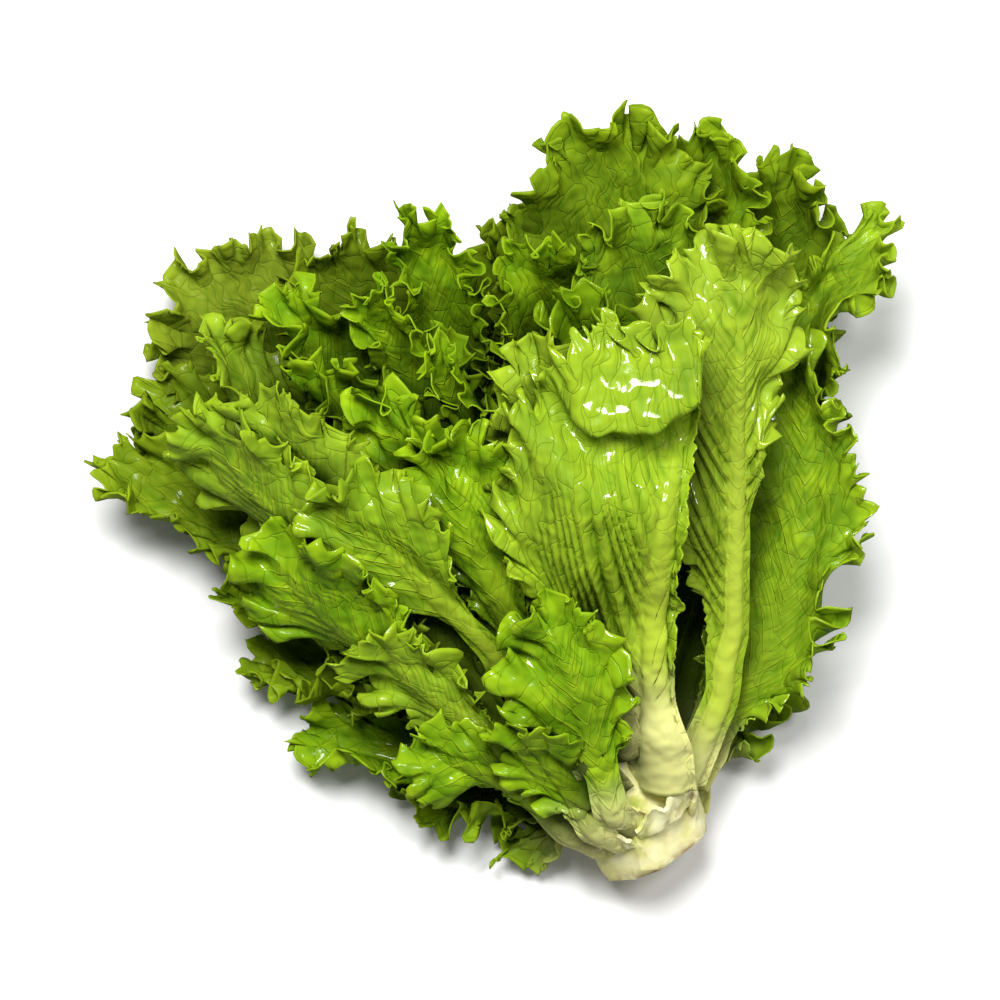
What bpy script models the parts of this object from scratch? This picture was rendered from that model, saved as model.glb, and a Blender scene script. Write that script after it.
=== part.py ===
"""Green leaf lettuce: one cut head lying on its side, its cut stem towards -Y and its leaf tips towards +Y.

Each leaf is a thin blade on a thick rib. It is laid out flat first, as a rib with a blade on either side,
then carried onto its own spine in space, cupped across and waved along its margin. The leaves are then
bent clear of each other and of the table, and their roots are cut to the stem that they grow from.
"""

import math

import bmesh
import bpy
import numpy as np
from mathutils import Matrix, Vector
from mathutils.bvhtree import BVHTree

MM = 0.001

# Driving dimensions, in millimetres. The table is the plane z = 0.
STEM_FOOT = np.array((54.0, -119.0, 18.0))
STEM_AXIS = np.array((-0.36, 0.80, 0.48))
STEM_LENGTH = 104.0
# Height up the stem, and its radius there: the trimmed foot, the crown of clasping leaf bases, the tip
STEM_PROFILE = ((0, 20), (10, 20), (34, 23), (60, 23), (84, 16), (104, 6))
BLADE_THICKNESS = 0.9
RIB_THICKNESS = 3.2
RIB_HALF_WIDTH = 5.0
WING = 2.0  # what stands out of the rib as blade, even at the root
CLEARANCE = 0.3
COLLAR = 9.0  # how far out from the crown the leaf bases are one body with the stem

RIB_END = 0.88  # the share of a leaf's length where its rib ends
VEIN_SLANT = 0.75  # how much lower a side vein starts on the rib than it ends on the margin

WAVE_LENGTH = 34.0
WAVE_HEIGHT = 4.0
SWELL_LENGTH = 74.0
SWELL_HEIGHT = 4.0

SPINE_POINTS = 60
ROOT_RUN = 14.0  # how far below the spine's first point a leaf is rooted in the stem
ROOT_LOWEST = 6.0
ROOT_DEPTH = 3.0
STALK_EDGE = 1.4
LIFTING_ROUNDS = 8
GAP = 0.6  # kept between the faces of two leaves where one is lifted over the other
DRAPE = 9.0  # how far round a lifted point the leaf is lifted with it, and more for each unit of lift
DRAPE_SLOPE = 1.2
SKY = 500.0
SETTLING_ROUNDS = 60
SETTLING_STEP = 0.5

GREEN = (0.22, 0.42, 0.035, 1.0)
CREAM = (0.78, 0.74, 0.45, 1.0)


def leaf(name, widths, facing, spine, cup=70.0, columns=9, wave=1.0, start=0.20, widest=0.68):
    """One leaf's habit: the blade's half widths left and right, where its back looks, the points that its
    rib passes after it leaves the stem, and the shares of its length where it starts and is widest."""
    return dict(
        name=name, widths=widths, facing=facing, spine=spine, cup=math.radians(cup), columns=columns,
        wave=wave, start=start, widest=widest,
    )


# Leaves that lie under the head, backs to the table, from the left round to the right
UNDER_LEAVES = [
    leaf("under_leaf_01", (8, 8), (-0.2, -0.5, -0.8),
         [(28, -110, 12), (10, -115, 9), (-1, -116, 8)], columns=7),
    leaf("under_leaf_02", (14, 17), (-0.2, -0.6, -0.8),
         [(30, -106, 16), (10, -104, 12), (-18, -102, 9), (-36, -97, 12)], columns=7),
    leaf("under_leaf_03", (46, 43), (-0.2, 0.1, -0.97),
         [(24, -78, 8), (-22, -20, 2), (-66, 36, -1), (-109, 77, 26)], wave=1.3),
    leaf("under_leaf_04", (16, 19), (-0.3, -0.5, -0.8),
         [(30, -100, 18), (-2, -92, 14), (-40, -86, 11), (-69, -78, 14)]),
    leaf("under_leaf_05", (20, 30), (0.0, 0.1, -0.99),
         [(32, -78, 8), (12, -26, -2), (9, 36, -2), (13, 101, 26)]),
    leaf("under_leaf_06", (28, 24), (0.2, 0.1, -0.97),
         [(52, -76, 8), (72, 0, -1), (87, 60, 4), (99, 114, 40)]),
    leaf("under_leaf_07", (14, 13), (-0.3, -0.5, -0.8),
         [(24, -94, 20), (-20, -74, 17), (-58, -60, 15), (-87, -54, 17)]),
    leaf("under_leaf_08", (30, 32), (-0.3, -0.1, -0.95),
         [(24, -84, 12), (-30, -36, 8), (-80, 4, 11), (-121, 36, 26)], wave=1.3),
    leaf("under_leaf_09", (13, 10), (0.4, -0.2, -0.9),
         [(66, -92, 18), (80, -78, 16), (97, -62, 20)], columns=7),
    leaf("under_leaf_10", (16, 14), (-0.4, -0.4, -0.8),
         [(22, -88, 22), (-28, -58, 20), (-68, -38, 19), (-93, -28, 23)]),
    leaf("under_leaf_11", (32, 34), (-0.1, 0.1, -0.98),
         [(24, -74, 14), (-8, -12, 9), (-34, 42, 11), (-60, 88, 34)], wave=1.3),
    leaf("under_leaf_12", (28, 26), (0.1, 0.1, -0.98),
         [(46, -74, 14), (56, 8, 9), (66, 75, 14), (74, 122, 44)], wave=1.3),
    leaf("under_leaf_13", (28, 8), (-0.4, -0.4, -0.8),
         [(20, -84, 23), (-40, -47, 21), (-94, -10, 23), (-138, 6, 34)]),
    leaf("under_leaf_14", (42, 40), (0.0, 0.1, -0.99),
         [(40, -72, 16), (34, 0, 11), (36, 70, 14), (42, 129, 44)], wave=1.3),
    leaf("under_leaf_15", (34, 8), (0.5, -0.1, -0.8),
         [(58, -76, 20), (80, -10, 22), (95, 35, 30), (105, 66, 42), (125, 94, 56)], wave=1.3),
    leaf("under_leaf_16", (20, 15), (-0.1, 0.1, -0.98),
         [(22, -66, 24), (-2, -2, 26), (-18, 50, 40), (-30, 98, 72)], cup=150),
    leaf("under_leaf_17", (22, 28), (0.3, 0.0, -0.95),
         [(68, -80, 32), (90, -48, 44), (98, -18, 54), (101, 8, 60),
          (99, 34, 66), (95, 54, 72)], start=0.1, widest=0.45),
]

# Leaves round the heart, most of them hidden but for their frills
HEART_LEAVES = [
    leaf("heart_leaf_01", (22, 24), (-0.5, -0.2, -0.7),
         [(22, -76, 36), (-28, -32, 36), (-68, 14, 48), (-97, 56, 66)], wave=1.3),
    leaf("heart_leaf_02", (18, 26), (0.0, 0.3, -0.9),
         [(28, -62, 34), (20, 0, 32), (18, 50, 44), (20, 88, 72)], cup=90, wave=1.3),
    leaf("heart_leaf_03", (18, 22), (-0.5, 0.2, -0.7),
         [(18, -68, 42), (-22, -14, 44), (-50, 34, 54), (-72, 68, 78)], cup=110, wave=1.3),
    leaf("heart_leaf_04", (28, 30), (0.3, 0.3, -0.9),
         [(38, -64, 38), (42, 0, 36), (48, 56, 46), (56, 98, 74)], wave=1.3),
    leaf("heart_leaf_05", (18, 20), (-0.3, 0.5, -0.7),
         [(18, -64, 44), (-6, -10, 46), (-26, 34, 56), (-47, 70, 84)], cup=120, wave=1.3),
    leaf("heart_leaf_06", (15, 16), (-0.6, 0.1, -0.5),
         [(16, -58, 52), (-18, -14, 60), (-44, 18, 72), (-64, 42, 94)], columns=7, cup=120, wave=1.3),
    leaf("heart_leaf_07", (24, 26), (0.4, 0.4, -0.5),
         [(26, -54, 50), (30, 0, 56), (32, 38, 68), (36, 66, 92)], columns=7, cup=80, wave=1.3),
    leaf("heart_leaf_08", (16, 18), (-0.3, 0.6, -0.3),
         [(18, -54, 54), (0, -6, 64), (-12, 26, 78), (-25, 48, 102)], columns=7, cup=120, wave=1.3),
    leaf("heart_leaf_09", (15, 15), (-0.4, -0.2, 0.7),
         [(16, -54, 60), (-10, -16, 74), (-26, 10, 86), (-44, 34, 102)], columns=7, cup=110, wave=1.3),
]

# Leaves over the head, backs to the sky
OVER_LEAVES = [
    leaf("over_leaf_01", (22, 20), (0.1, -0.1, 0.98),
         [(34, -70, 60), (22, -26, 80), (16, 16, 98), (11, 50, 112)], columns=7, cup=50),
    leaf("over_leaf_02", (24, 24), (-0.4, -0.4, 0.7),
         [(22, -84, 42), (-18, -50, 54), (-52, -10, 66), (-80, 34, 88)], wave=1.3),
    leaf("over_leaf_03", (18, 19), (0.0, -0.3, 0.95),
         [(34, -82, 52), (10, -46, 68), (-9, -12, 86), (-20, 22, 104)], start=0.35, widest=0.78),
    leaf("over_leaf_04", (30, 13), (0.2, -0.1, 0.97),
         [(62, -84, 48), (75, -60, 54), (77, -20, 72), (77, 32, 94),
          (77, 58, 104), (75, 85, 112)], cup=60, widest=0.76),
    leaf("over_leaf_05", (24, 24), (-0.4, -0.5, 0.6),
         [(24, -92, 36), (-24, -58, 44), (-64, -18, 54), (-98, 30, 74)], wave=1.3),
    leaf("over_leaf_06", (20, 22), (-0.2, -0.3, 0.9),
         [(30, -86, 50), (2, -56, 62), (-26, -27, 80), (-58, 2, 98)], start=0.45, widest=0.82),
    leaf("over_leaf_07", (60, 8), (-0.1, -0.2, 0.97),
         [(46, -84, 54), (50, -46, 70), (52, -19, 86), (55, 6, 100),
          (60, 32, 114), (63, 52, 128)], cup=52, columns=10, start=0.16, widest=0.52),
    leaf("over_leaf_08", (20, 24), (-0.4, -0.6, 0.7),
         [(24, -98, 36), (-12, -72, 46), (-50, -44, 58), (-82, -14, 72)], start=0.25),
    leaf("over_leaf_09", (15, 15), (-0.3, -0.5, 0.8),
         [(24, -102, 38), (2, -84, 50), (-24, -64, 60), (-48, -46, 66)], columns=7, start=0.3),
    leaf("over_leaf_10", (12, 14), (-0.3, -0.6, 0.8),
         [(28, -110, 38), (8, -98, 46), (-12, -88, 50), (-30, -80, 52)], columns=7),
    leaf("over_leaf_11", (22, 16), (0.0, -0.4, 0.9),
         [(38, -100, 54), (32, -84, 70), (24, -60, 86), (13, -34, 98)], start=0.1, widest=0.6),
    leaf("over_leaf_12", (15, 13), (-0.2, -0.5, 0.9),
         [(34, -106, 48), (24, -96, 60), (14, -84, 68), (5, -70, 74)], columns=7, start=0.12, widest=0.6),
]

LEAVES = UNDER_LEAVES + HEART_LEAVES + OVER_LEAVES


def unit(vectors):
    """Vectors, in rows or alone, at length 1."""
    vectors = np.asarray(vectors, float)
    return vectors / np.maximum(np.linalg.norm(vectors, axis=-1, keepdims=True), 1e-9)


def smooth_step(x):
    x = np.clip(x, 0.0, 1.0)
    return x * x * (3 - 2 * x)


def stem_radius(height):
    heights, radii = zip(*STEM_PROFILE)
    return np.interp(height, heights, radii)


def outside_stem(points):
    """How far each point stands clear of the stem, and the way straight out from its axis."""
    axis = unit(STEM_AXIS)
    offset = np.atleast_2d(points) - STEM_FOOT
    height = offset @ axis
    radial = offset - height[:, None] * axis
    out = np.linalg.norm(radial, axis=1) - stem_radius(np.clip(height, 0, STEM_LENGTH))
    beyond = np.abs(height - np.clip(height, 0, STEM_LENGTH))
    return np.where(beyond > 0, np.hypot(np.maximum(out, 0), beyond), out), unit(radial)


def smooth_path(knots, count):
    """Points evenly spaced on a smooth curve through the knots, and the curve's length."""
    knots = np.asarray(knots, float)
    ends = np.vstack((2 * knots[0] - knots[1], knots, 2 * knots[-1] - knots[-2]))
    t = np.linspace(0, 1, 16, endpoint=False)[:, None]
    pieces = [
        0.5 * (2 * b + (c - a) * t + (2 * a - 5 * b + 4 * c - d) * t**2 + (3 * b - a - 3 * c + d) * t**3)
        for a, b, c, d in zip(ends, ends[1:], ends[2:], ends[3:])
    ]
    dense = np.vstack([*pieces, knots[-1:]])
    run = np.concatenate(([0], np.cumsum(np.linalg.norm(np.diff(dense, axis=0), axis=1))))
    at = np.linspace(0, run[-1], count)
    return np.stack([np.interp(at, run, dense[:, k]) for k in range(3)], axis=1), run[-1]


def make_spine(habit):
    """The rib's line from inside the stem to the tip, with the way its back faces all along it."""
    clear, away = outside_stem(habit["spine"])
    passed = np.array(habit["spine"]) + away * np.clip(5 - clear, 0, None)[:, None]
    axis = unit(STEM_AXIS)
    seat = max(np.dot(passed[0] - STEM_FOOT, axis) - ROOT_RUN, ROOT_LOWEST)
    root = STEM_FOOT + axis * seat + away[0] * (stem_radius(seat) - ROOT_DEPTH)
    points, length = smooth_path([root, *passed], SPINE_POINTS)
    along = unit(np.gradient(points, axis=0))
    backs = np.empty_like(points)
    middle = int(0.6 * SPINE_POINTS)
    for way in (range(middle, SPINE_POINTS), range(middle, -1, -1)):
        back = np.array(habit["facing"])
        for k in way:
            back = unit(back - along[k] * np.dot(back, along[k]))
            backs[k] = back
    return dict(points=points, along=along, backs=backs, sides=np.cross(along, backs), length=length)


def rib_half_width(share):
    """The rib is widest at the root and runs out to a point."""
    return RIB_HALF_WIDTH * (1 - np.asarray(share)) ** 0.8 + 0.5


def rib_thickness(share):
    return BLADE_THICKNESS + (RIB_THICKNESS - BLADE_THICKNESS) * np.clip(1 - np.asarray(share) / RIB_END, 0, 1)


def margin(habit, length, half_width, count):
    """One side's outline, root to tip: how far along, how far out, the way run along it, and how far the
    blade has opened there. The points crowd towards the waved part."""
    share = np.linspace(0, 1, 241)
    widest = habit["widest"]
    opening = smooth_step((share - habit["start"]) / (widest - habit["start"]))
    rounding = np.sqrt(np.clip(1 - ((share - widest) / (1 - widest)) ** 2, 0, 1))
    rounding[share < widest] = 1.0
    rounding **= 0.85
    stalk = rib_half_width(share) + WING * (1 - share)
    out = stalk * rounding + np.maximum(half_width - stalk, 0) * opening * rounding
    steps = np.hypot(np.diff(share * length), np.diff(out))
    run = np.concatenate(([0], np.cumsum(steps)))
    crowding = np.concatenate(([0], np.cumsum(steps * (0.6 + 0.6 * opening[1:]))))
    at = np.linspace(0, crowding[-1], count + 1)
    return [np.interp(at, crowding, values) for values in (share * length, out, run, opening)]


def stitch(fine, coarse):
    """Triangles between two rows of points, where the second has as many steps as the first or half."""
    faces = []
    if len(fine) == len(coarse):
        for k in range(len(fine) - 1):
            a, b, c, d = fine[k], fine[k + 1], coarse[k + 1], coarse[k]
            faces += [(a, b, c), (a, c, d)] if k % 2 else [(a, b, d), (b, c, d)]
    else:
        for k in range(len(coarse) - 1):
            a, b, c = fine[2 * k : 2 * k + 3]
            faces += [(a, b, coarse[k]), (b, coarse[k + 1], coarse[k]), (b, c, coarse[k + 1])]
    return [f for f in faces if len(set(f)) == 3]


def blade_rows(columns):
    """(share of the way from rib to margin, steps from root to tip) for each row of points."""
    return ((1.0, 2 * columns), (0.6, columns), (0.0, columns))


def lay_out_flat(habit, length):
    """The leaf before it is bent: for each point how far out (left is negative), how far along, its share
    of the way to the margin, the run along the margin and the opening there, and the triangles."""
    table, faces, ribs, margins, between = [], [], [], [], []

    def add(*values):
        table.append(values)
        return len(table) - 1

    tip = [add(0.0, RIB_END * length + share * (1 - RIB_END) * length, share, 0.0, 1.0)
           for share, _ in blade_rows(habit["columns"])]
    for side, half_width in zip((-1, 1), habit["widths"]):
        rows = []
        for level, (share, steps) in enumerate(blade_rows(habit["columns"])):
            b, a, run, opening = margin(habit, length, half_width, steps)
            foot = (b - VEIN_SLANT * (a - a[0])) * RIB_END * length / (length + VEIN_SLANT * a[0])
            edge = np.minimum(rib_half_width(foot / length), a - 0.8)
            row = [
                add(side * (edge[k] + share * (a[k] - edge[k])), foot[k] + share * (b[k] - foot[k]),
                    share, side * (run[-1] - run[k]), opening[k])
                for k in range(steps)
            ]
            rows.append([*row, tip[level]])
        for outer, inner in zip(rows, rows[1:]):
            found = stitch(outer, inner)
            faces += found if side > 0 else [f[::-1] for f in found]
        ribs.append(rows[-1])
        margins.append(rows[0][::2])
        between += zip(rows[0][1::2], rows[0][::2], rows[0][2::2])
    pairs = list(zip(*ribs))[:-1]
    middle = [add(0.0, 0.5 * (table[a][1] + table[b][1]), 0.0, 0.0, 0.0) for a, b in pairs] + [tip[-1]]
    faces += stitch(ribs[1], middle)
    faces += [f[::-1] for f in stitch(ribs[0], middle)]
    return np.array(table), faces, list(zip(margins[0], middle, margins[1])), np.array(between)


def bend_onto_spine(habit, flat, spine):
    """Carries flat points onto the spine, cupped across. Returns the points and the way the back faces."""
    out, along = flat[:, 0], flat[:, 1]
    at = np.linspace(0, spine["length"], SPINE_POINTS)
    line, back, side = (
        np.stack([np.interp(along, at, spine[key][:, k]) for k in range(3)], axis=1)
        for key in ("points", "backs", "sides")
    )
    back, side = unit(back), unit(side)
    bend = habit["cup"] / sum(habit["widths"])
    angle = (out * bend)[:, None]
    points = line + side * np.sin(angle) / bend - back * (1 - np.cos(angle)) / bend
    return points, unit(back * np.cos(angle) + side * np.sin(angle))


def wave_height(habit, flat, phase):
    """How far each point is lifted off the smooth blade, by slow swells and by the frill along the margin."""
    share, run, opening = flat[:, 2], flat[:, 3], flat[:, 4]
    lift = smooth_step(opening) * habit["wave"]
    swell = SWELL_HEIGHT * share**1.5 * np.sin(2 * math.pi * run / SWELL_LENGTH + phase)
    frill = WAVE_HEIGHT * share**2.5 * np.sin(2 * math.pi * run / WAVE_LENGTH + 1.7 * phase)
    return lift * (swell + frill)


def make_leaf(habit, number):
    """The leaf's middle surface in space, with all that is needed to thicken it."""
    spine = make_spine(habit)
    flat, faces, sections, between = lay_out_flat(habit, spine["length"])
    rib = [middle for _, middle, _ in sections]
    points, backs = bend_onto_spine(habit, flat, spine)
    thick = np.full(len(flat), BLADE_THICKNESS)
    thick[rib] = rib_thickness(flat[rib, 1] / spine["length"])
    return dict(
        habit=habit, points=points, faces=faces, thick=thick, border=border_loop(faces), sections=sections,
        waves=wave_height(habit, flat, 2.4 * number), between=between, opening=flat[:, 4],
        near=neighbours(faces, len(flat)),
    )


def neighbours(faces, count):
    """For each point, the weights that average the points joined to it."""
    near = np.zeros((count, count))
    for f in faces:
        for a in f:
            near[a, list(f)] = 1.0
    np.fill_diagonal(near, 0.0)
    return near / near.sum(axis=1, keepdims=True)


def straighten_stalk(one):
    """Brings the margin's every second point into line with its neighbours where the blade is closed."""
    middle, before, after = one["between"].T
    closed = 1 - smooth_step(3 * one["opening"][middle])[:, None]
    points = one["points"]
    points[middle] += closed * (0.5 * (points[before] + points[after]) - points[middle])


def border_loop(faces):
    """The points of the sheet's border, in order, with the sheet on their left."""
    edges = {(a, b) for f in faces for a, b in zip(f, f[1:] + f[:1])}
    after = {a: b for a, b in edges if (b, a) not in edges}
    loop = [next(iter(after))]
    while after[loop[-1]] != loop[0]:
        loop.append(after[loop[-1]])
    return loop


def steepness(normals):
    """How much further apart two faces must be upright than straight across, where they slope."""
    return 1 / np.maximum(np.abs(normals[..., 2]), 0.6)


def lifts_needed(one, tree, thick, faces, bare):
    """How far each of a leaf's points must rise to clear the leaves laid down before it."""
    needed = np.zeros(len(one["points"]))
    clear = outside_stem(one["points"])[0] > COLLAR
    for k in np.flatnonzero(clear):
        x, y, z = one["points"][k]
        spot, normal, face, _ = tree.ray_cast((x, y, SKY), (0, 0, -1))
        if spot is not None:
            gap = (0.5 * (one["thick"][k] + thick[list(faces[face])].max()) + GAP) * steepness(np.array(normal))
            needed[k] = spot[2] + gap - z
    own = BVHTree.FromPolygons(one["points"].tolist(), one["faces"])
    for x, y, z, other in bare:
        spot, normal, face, _ = own.ray_cast((x, y, -SKY), (0, 0, 1))
        if spot is not None:
            corners = list(one["faces"][face])
            gap = (0.5 * (one["thick"][corners].max() + other) + GAP) * steepness(np.array(normal))
            for k in corners:
                if clear[k]:
                    needed[k] = max(needed[k], z + gap - spot[2])
    return np.maximum(needed, 0)


def lay_down(leaves):
    """Lays the leaves down in order from the table up, each one lifted clear of those below it."""
    points, thick, faces, bare = np.zeros((0, 3)), np.zeros(0), [], []
    for one in leaves:
        straighten_stalk(one)
        one["points"][:, 2] = np.maximum(one["points"][:, 2], 0.5 * one["thick"])
        flat = one["points"][:, :2]
        apart = np.linalg.norm(flat[:, None] - flat[None], axis=2)
        if faces:
            tree = BVHTree.FromPolygons(points.tolist(), faces)
            for _ in range(LIFTING_ROUNDS):
                needed = lifts_needed(one, tree, thick, faces, bare)
                if needed.max() < 0.05:
                    break
                reach = DRAPE + DRAPE_SLOPE * needed
                one["points"][:, 2] += (needed * smooth_step(1.25 - apart / reach)).max(axis=1)
        clear = outside_stem(one["points"])[0] > COLLAR
        first = len(points)
        faces += [tuple(first + v for v in f) for f in one["faces"] if clear[list(f)].any()]
        bare += [(*p, t) for p, t, seen in zip(one["points"], one["thick"], clear) if seen]
        points, thick = np.vstack((points, one["points"])), np.concatenate((thick, one["thick"]))


def wave_margins(leaves):
    """Waves each leaf's margin, as far as the leaves on either side of it leave room."""
    shifts = []
    for one in leaves:
        points, faces = np.zeros((0, 3)), []
        for other in leaves:
            if other is not one:
                faces += [tuple(len(points) + v for v in f) for f in other["faces"]]
                points = np.vstack((points, other["points"]))
        tree = BVHTree.FromPolygons(points.tolist(), faces)
        normals = sheet_normals(one["points"], one["faces"])
        ways = normals * np.sign(one["waves"])[:, None]
        room = np.full(len(normals), SKY)
        for k in np.flatnonzero(one["waves"]):
            spot, _, _, distance = tree.ray_cast(one["points"][k], ways[k], 4 * WAVE_HEIGHT)
            if spot is not None:
                room[k] = max(distance - BLADE_THICKNESS - GAP, 0)
        shifts.append(ways * np.minimum(np.abs(one["waves"]), 0.4 * room)[:, None])
    for one, shift in zip(leaves, shifts):
        one["points"] += shift
        straighten_stalk(one)
        one["points"][:, 2] = np.maximum(one["points"][:, 2], 0.5 * one["thick"])


def find_creases(one):
    """The points of a leaf at which its solid runs into itself."""
    found = set()
    for grown in (0.0, CLEARANCE):
        points, faces = thicken(one, grown)
        tree = BVHTree.FromPolygons(points.tolist(), faces)
        for a, b in tree.overlap(tree):
            if not set(faces[a]) & set(faces[b]):
                found |= {v % len(one["points"]) for v in (*faces[a], *faces[b])}
    return found


def settle(leaves):
    """Lifts a leaf a little wherever it still cuts into one below it, until none does."""
    trees, moved = [None] * len(leaves), set(range(len(leaves)))
    for _ in range(SETTLING_ROUNDS):
        for i in moved:
            points, faces = thicken(leaves[i], CLEARANCE + 0.1)
            clear = outside_stem(points)[0] > COLLAR
            kept = np.flatnonzero(clear[np.array(faces)].any(axis=1))
            bare = [faces[k] for k in kept]
            tree = BVHTree.FromPolygons(points.tolist(), bare)
            trees[i] = (tree, bare, points.min(axis=0), points.max(axis=0))
        raised = set()
        for i, one in enumerate(leaves):
            tree, faces, low, high = trees[i]
            creased = sorted(find_creases(one)) if i in moved else []
            if creased:
                one["points"][creased] += 0.5 * (one["near"][creased] @ one["points"] - one["points"][creased])
                raised.add(i)
            struck = set()
            for j in range(i):
                other, _, other_low, other_high = trees[j]
                if (i in moved or j in moved) and (low < other_high).all() and (other_low < high).all():
                    for mine, _ in tree.overlap(other):
                        struck |= {v % len(one["points"]) for v in faces[mine]}
            if struck:
                flat = one["points"][:, :2]
                apart = np.linalg.norm(flat[:, None] - flat[None, list(struck)], axis=2).min(axis=1)
                one["points"][:, 2] += SETTLING_STEP * smooth_step(1.3 - apart / DRAPE)
                straighten_stalk(one)
                raised.add(i)
        moved = raised
        if not moved:
            break
    print("Leaves that still touch:", [leaves[i]["habit"]["name"] for i in moved])


def sheet_normals(points, faces):
    corners = points[np.array(faces)]
    across = np.cross(corners[:, 1] - corners[:, 0], corners[:, 2] - corners[:, 0])
    normals = np.zeros_like(points)
    for k in range(3):
        np.add.at(normals, np.array(faces)[:, k], across)
    return unit(normals)


def add_object(name, points, faces, colour, roughness=0.45):
    mesh = bpy.data.meshes.new(name)
    mesh.from_pydata((np.asarray(points) * MM).tolist(), [], faces)
    mesh.update()
    thing = bpy.data.objects.new(name, mesh)
    bpy.context.scene.collection.objects.link(thing)
    material = bpy.data.materials.new(name)
    material.use_nodes = True
    shader = material.node_tree.nodes["Principled BSDF"]
    shader.inputs["Base Color"].default_value = colour
    shader.inputs["Roughness"].default_value = roughness
    mesh.materials.append(material)
    return thing


def thicken(one, grown=0.0):
    """The leaf's closed solid: the middle surface moved out both ways, and a wall along its border."""
    normals = sheet_normals(one["points"], one["faces"])
    half = 0.5 * (one["thick"][:, None] + grown)
    count = len(normals)
    points = np.vstack((one["points"] + normals * half, one["points"] - normals * half))
    points[points[:, 2] < 0.3, 2] = 0.0
    faces = list(one["faces"]) + [tuple(v + count for v in reversed(f)) for f in one["faces"]]
    for a, b in zip(one["border"], one["border"][1:] + one["border"][:1]):
        faces += [(b, a, a + count), (b, a + count, b + count)]
    return points, faces


def stalk_mesh(one):
    """The leaf's stalk as far as the collar, as a plain strip with its rib along the middle."""
    normals = sheet_normals(one["points"], one["faces"])
    sections = []
    for section in one["sections"][:-1]:
        sections.append(section)
        if len(sections) > 1 and outside_stem(one["points"][list(section)])[0].min() > COLLAR + 1:
            break
    chosen = [v for section in sections for v in section]
    half = 0.5 * np.maximum(one["thick"][chosen], STALK_EDGE)[:, None]
    sheet, across = one["points"][chosen], half * normals[chosen]
    points = np.vstack((sheet + across, sheet - across))
    count, last = len(chosen), 3 * (len(sections) - 1)
    top = []
    for k in range(0, last, 3):
        for a in (k, k + 1):
            top += [(a, a + 1, a + 4), (a, a + 4, a + 3)]
    faces = top + [tuple(v + count for v in reversed(f)) for f in top]
    rim = [0, 1, 2, *range(5, last + 3, 3), last + 1, last, *range(last - 3, 0, -3)]
    for a, b in zip(rim, rim[1:] + rim[:1]):
        faces += [(b, a, a + count), (b, a + count, b + count)]
    return points, faces


def stem_mesh(grown=0.0, rings=9, sides=16):
    """The trimmed foot and the cone of the stem inside the head, with the scars of shed leaves round it."""
    axis = unit(STEM_AXIS)
    right = unit(np.cross(axis, (0, 0, 1)))
    up = np.cross(axis, right)
    heights = np.linspace(-grown, STEM_LENGTH + grown, rings)
    points = []
    for level, height in enumerate(heights):
        for k in range(sides):
            angle = 2 * math.pi * (k + 0.5 * (level % 2)) / sides
            scar = 1.0 * math.sin(3 * angle + 0.21 * height) * smooth_step(height / 12) * smooth_step((60 - height) / 20)
            radius = stem_radius(height) + scar + grown
            points.append(STEM_FOOT + axis * height + radius * (right * math.cos(angle) + up * math.sin(angle)))
    points += [STEM_FOOT - axis * grown, STEM_FOOT + axis * (STEM_LENGTH + grown)]
    faces = []
    for level in range(rings - 1):
        for k in range(sides):
            a, b = level * sides + k, level * sides + (k + 1) % sides
            c, d = a + sides, b + sides
            faces += [(a, b, d), (a, d, c)] if level % 2 else [(a, b, c), (b, d, c)]
    foot, top = len(points) - 2, len(points) - 1
    last = (rings - 1) * sides
    for k in range(sides):
        faces += [(foot, (k + 1) % sides, k), (top, last + k, last + (k + 1) % sides)]
    return np.array(points), faces


def join_by(thing, operation, *others):
    """Runs a Boolean with each of the others and keeps the largest body that comes of it, filled solid."""
    for other in others:
        before, _ = measure(thing.data)
        most = before + (measure(other.data)[0] if operation == "UNION" else 0)
        least = before * {"UNION": 0.99, "DIFFERENCE": 0.1, "INTERSECT": 0}[operation]
        for solver in ("EXACT", "MANIFOLD"):
            step = thing.modifiers.new(operation.lower(), "BOOLEAN")
            step.operation = operation
            step.solver = solver
            step.object = other
            bpy.context.view_layer.update()
            found = bpy.data.meshes.new_from_object(thing.evaluated_get(bpy.context.evaluated_depsgraph_get()))
            thing.modifiers.clear()
            keep_largest_body(found)
            after, closed = measure(found)
            if closed and least < after < 1.01 * most:
                thing.data = found
                break
    bm = bmesh.new()
    bm.from_mesh(thing.data)
    bmesh.ops.triangulate(bm, faces=bm.faces[:])
    bm.to_mesh(thing.data)
    bm.free()


def measure(mesh):
    """A mesh's volume, and whether it is closed."""
    bm = bmesh.new()
    bm.from_mesh(mesh)
    found = bm.calc_volume(signed=True), all(e.is_manifold for e in bm.edges)
    bm.free()
    return found


def keep_largest_body(mesh):
    bm = bmesh.new()
    bm.from_mesh(mesh)
    bodies, seen = [], set()
    for start in bm.faces:
        if start in seen:
            continue
        body, waiting = [], [start]
        seen.add(start)
        while waiting:
            face = waiting.pop()
            body.append(face)
            for edge in face.edges:
                for near in edge.link_faces:
                    if near not in seen:
                        seen.add(near)
                        waiting.append(near)
        bodies.append(body)
    bodies.sort(key=body_volume)
    for body in bodies[:-1]:
        bmesh.ops.delete(bm, geom=body, context="FACES")
    bm.to_mesh(mesh)
    bm.free()


def body_volume(body):
    total = 0.0
    for face in body:
        first, *rest = (v.co for v in face.verts)
        total += sum(first.dot(a.cross(b)) for a, b in zip(rest, rest[1:]))
    return total / 6


def stand_on_origin(things):
    """Moves the head sideways until the middle of its plan is over the origin."""
    corners = np.array([thing.matrix_world @ Vector(corner) for thing in things for corner in thing.bound_box])
    middle = 0.5 * (corners.min(axis=0) + corners.max(axis=0))
    for thing in things:
        thing.data.transform(Matrix.Translation((-middle[0], -middle[1], 0)))


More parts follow.
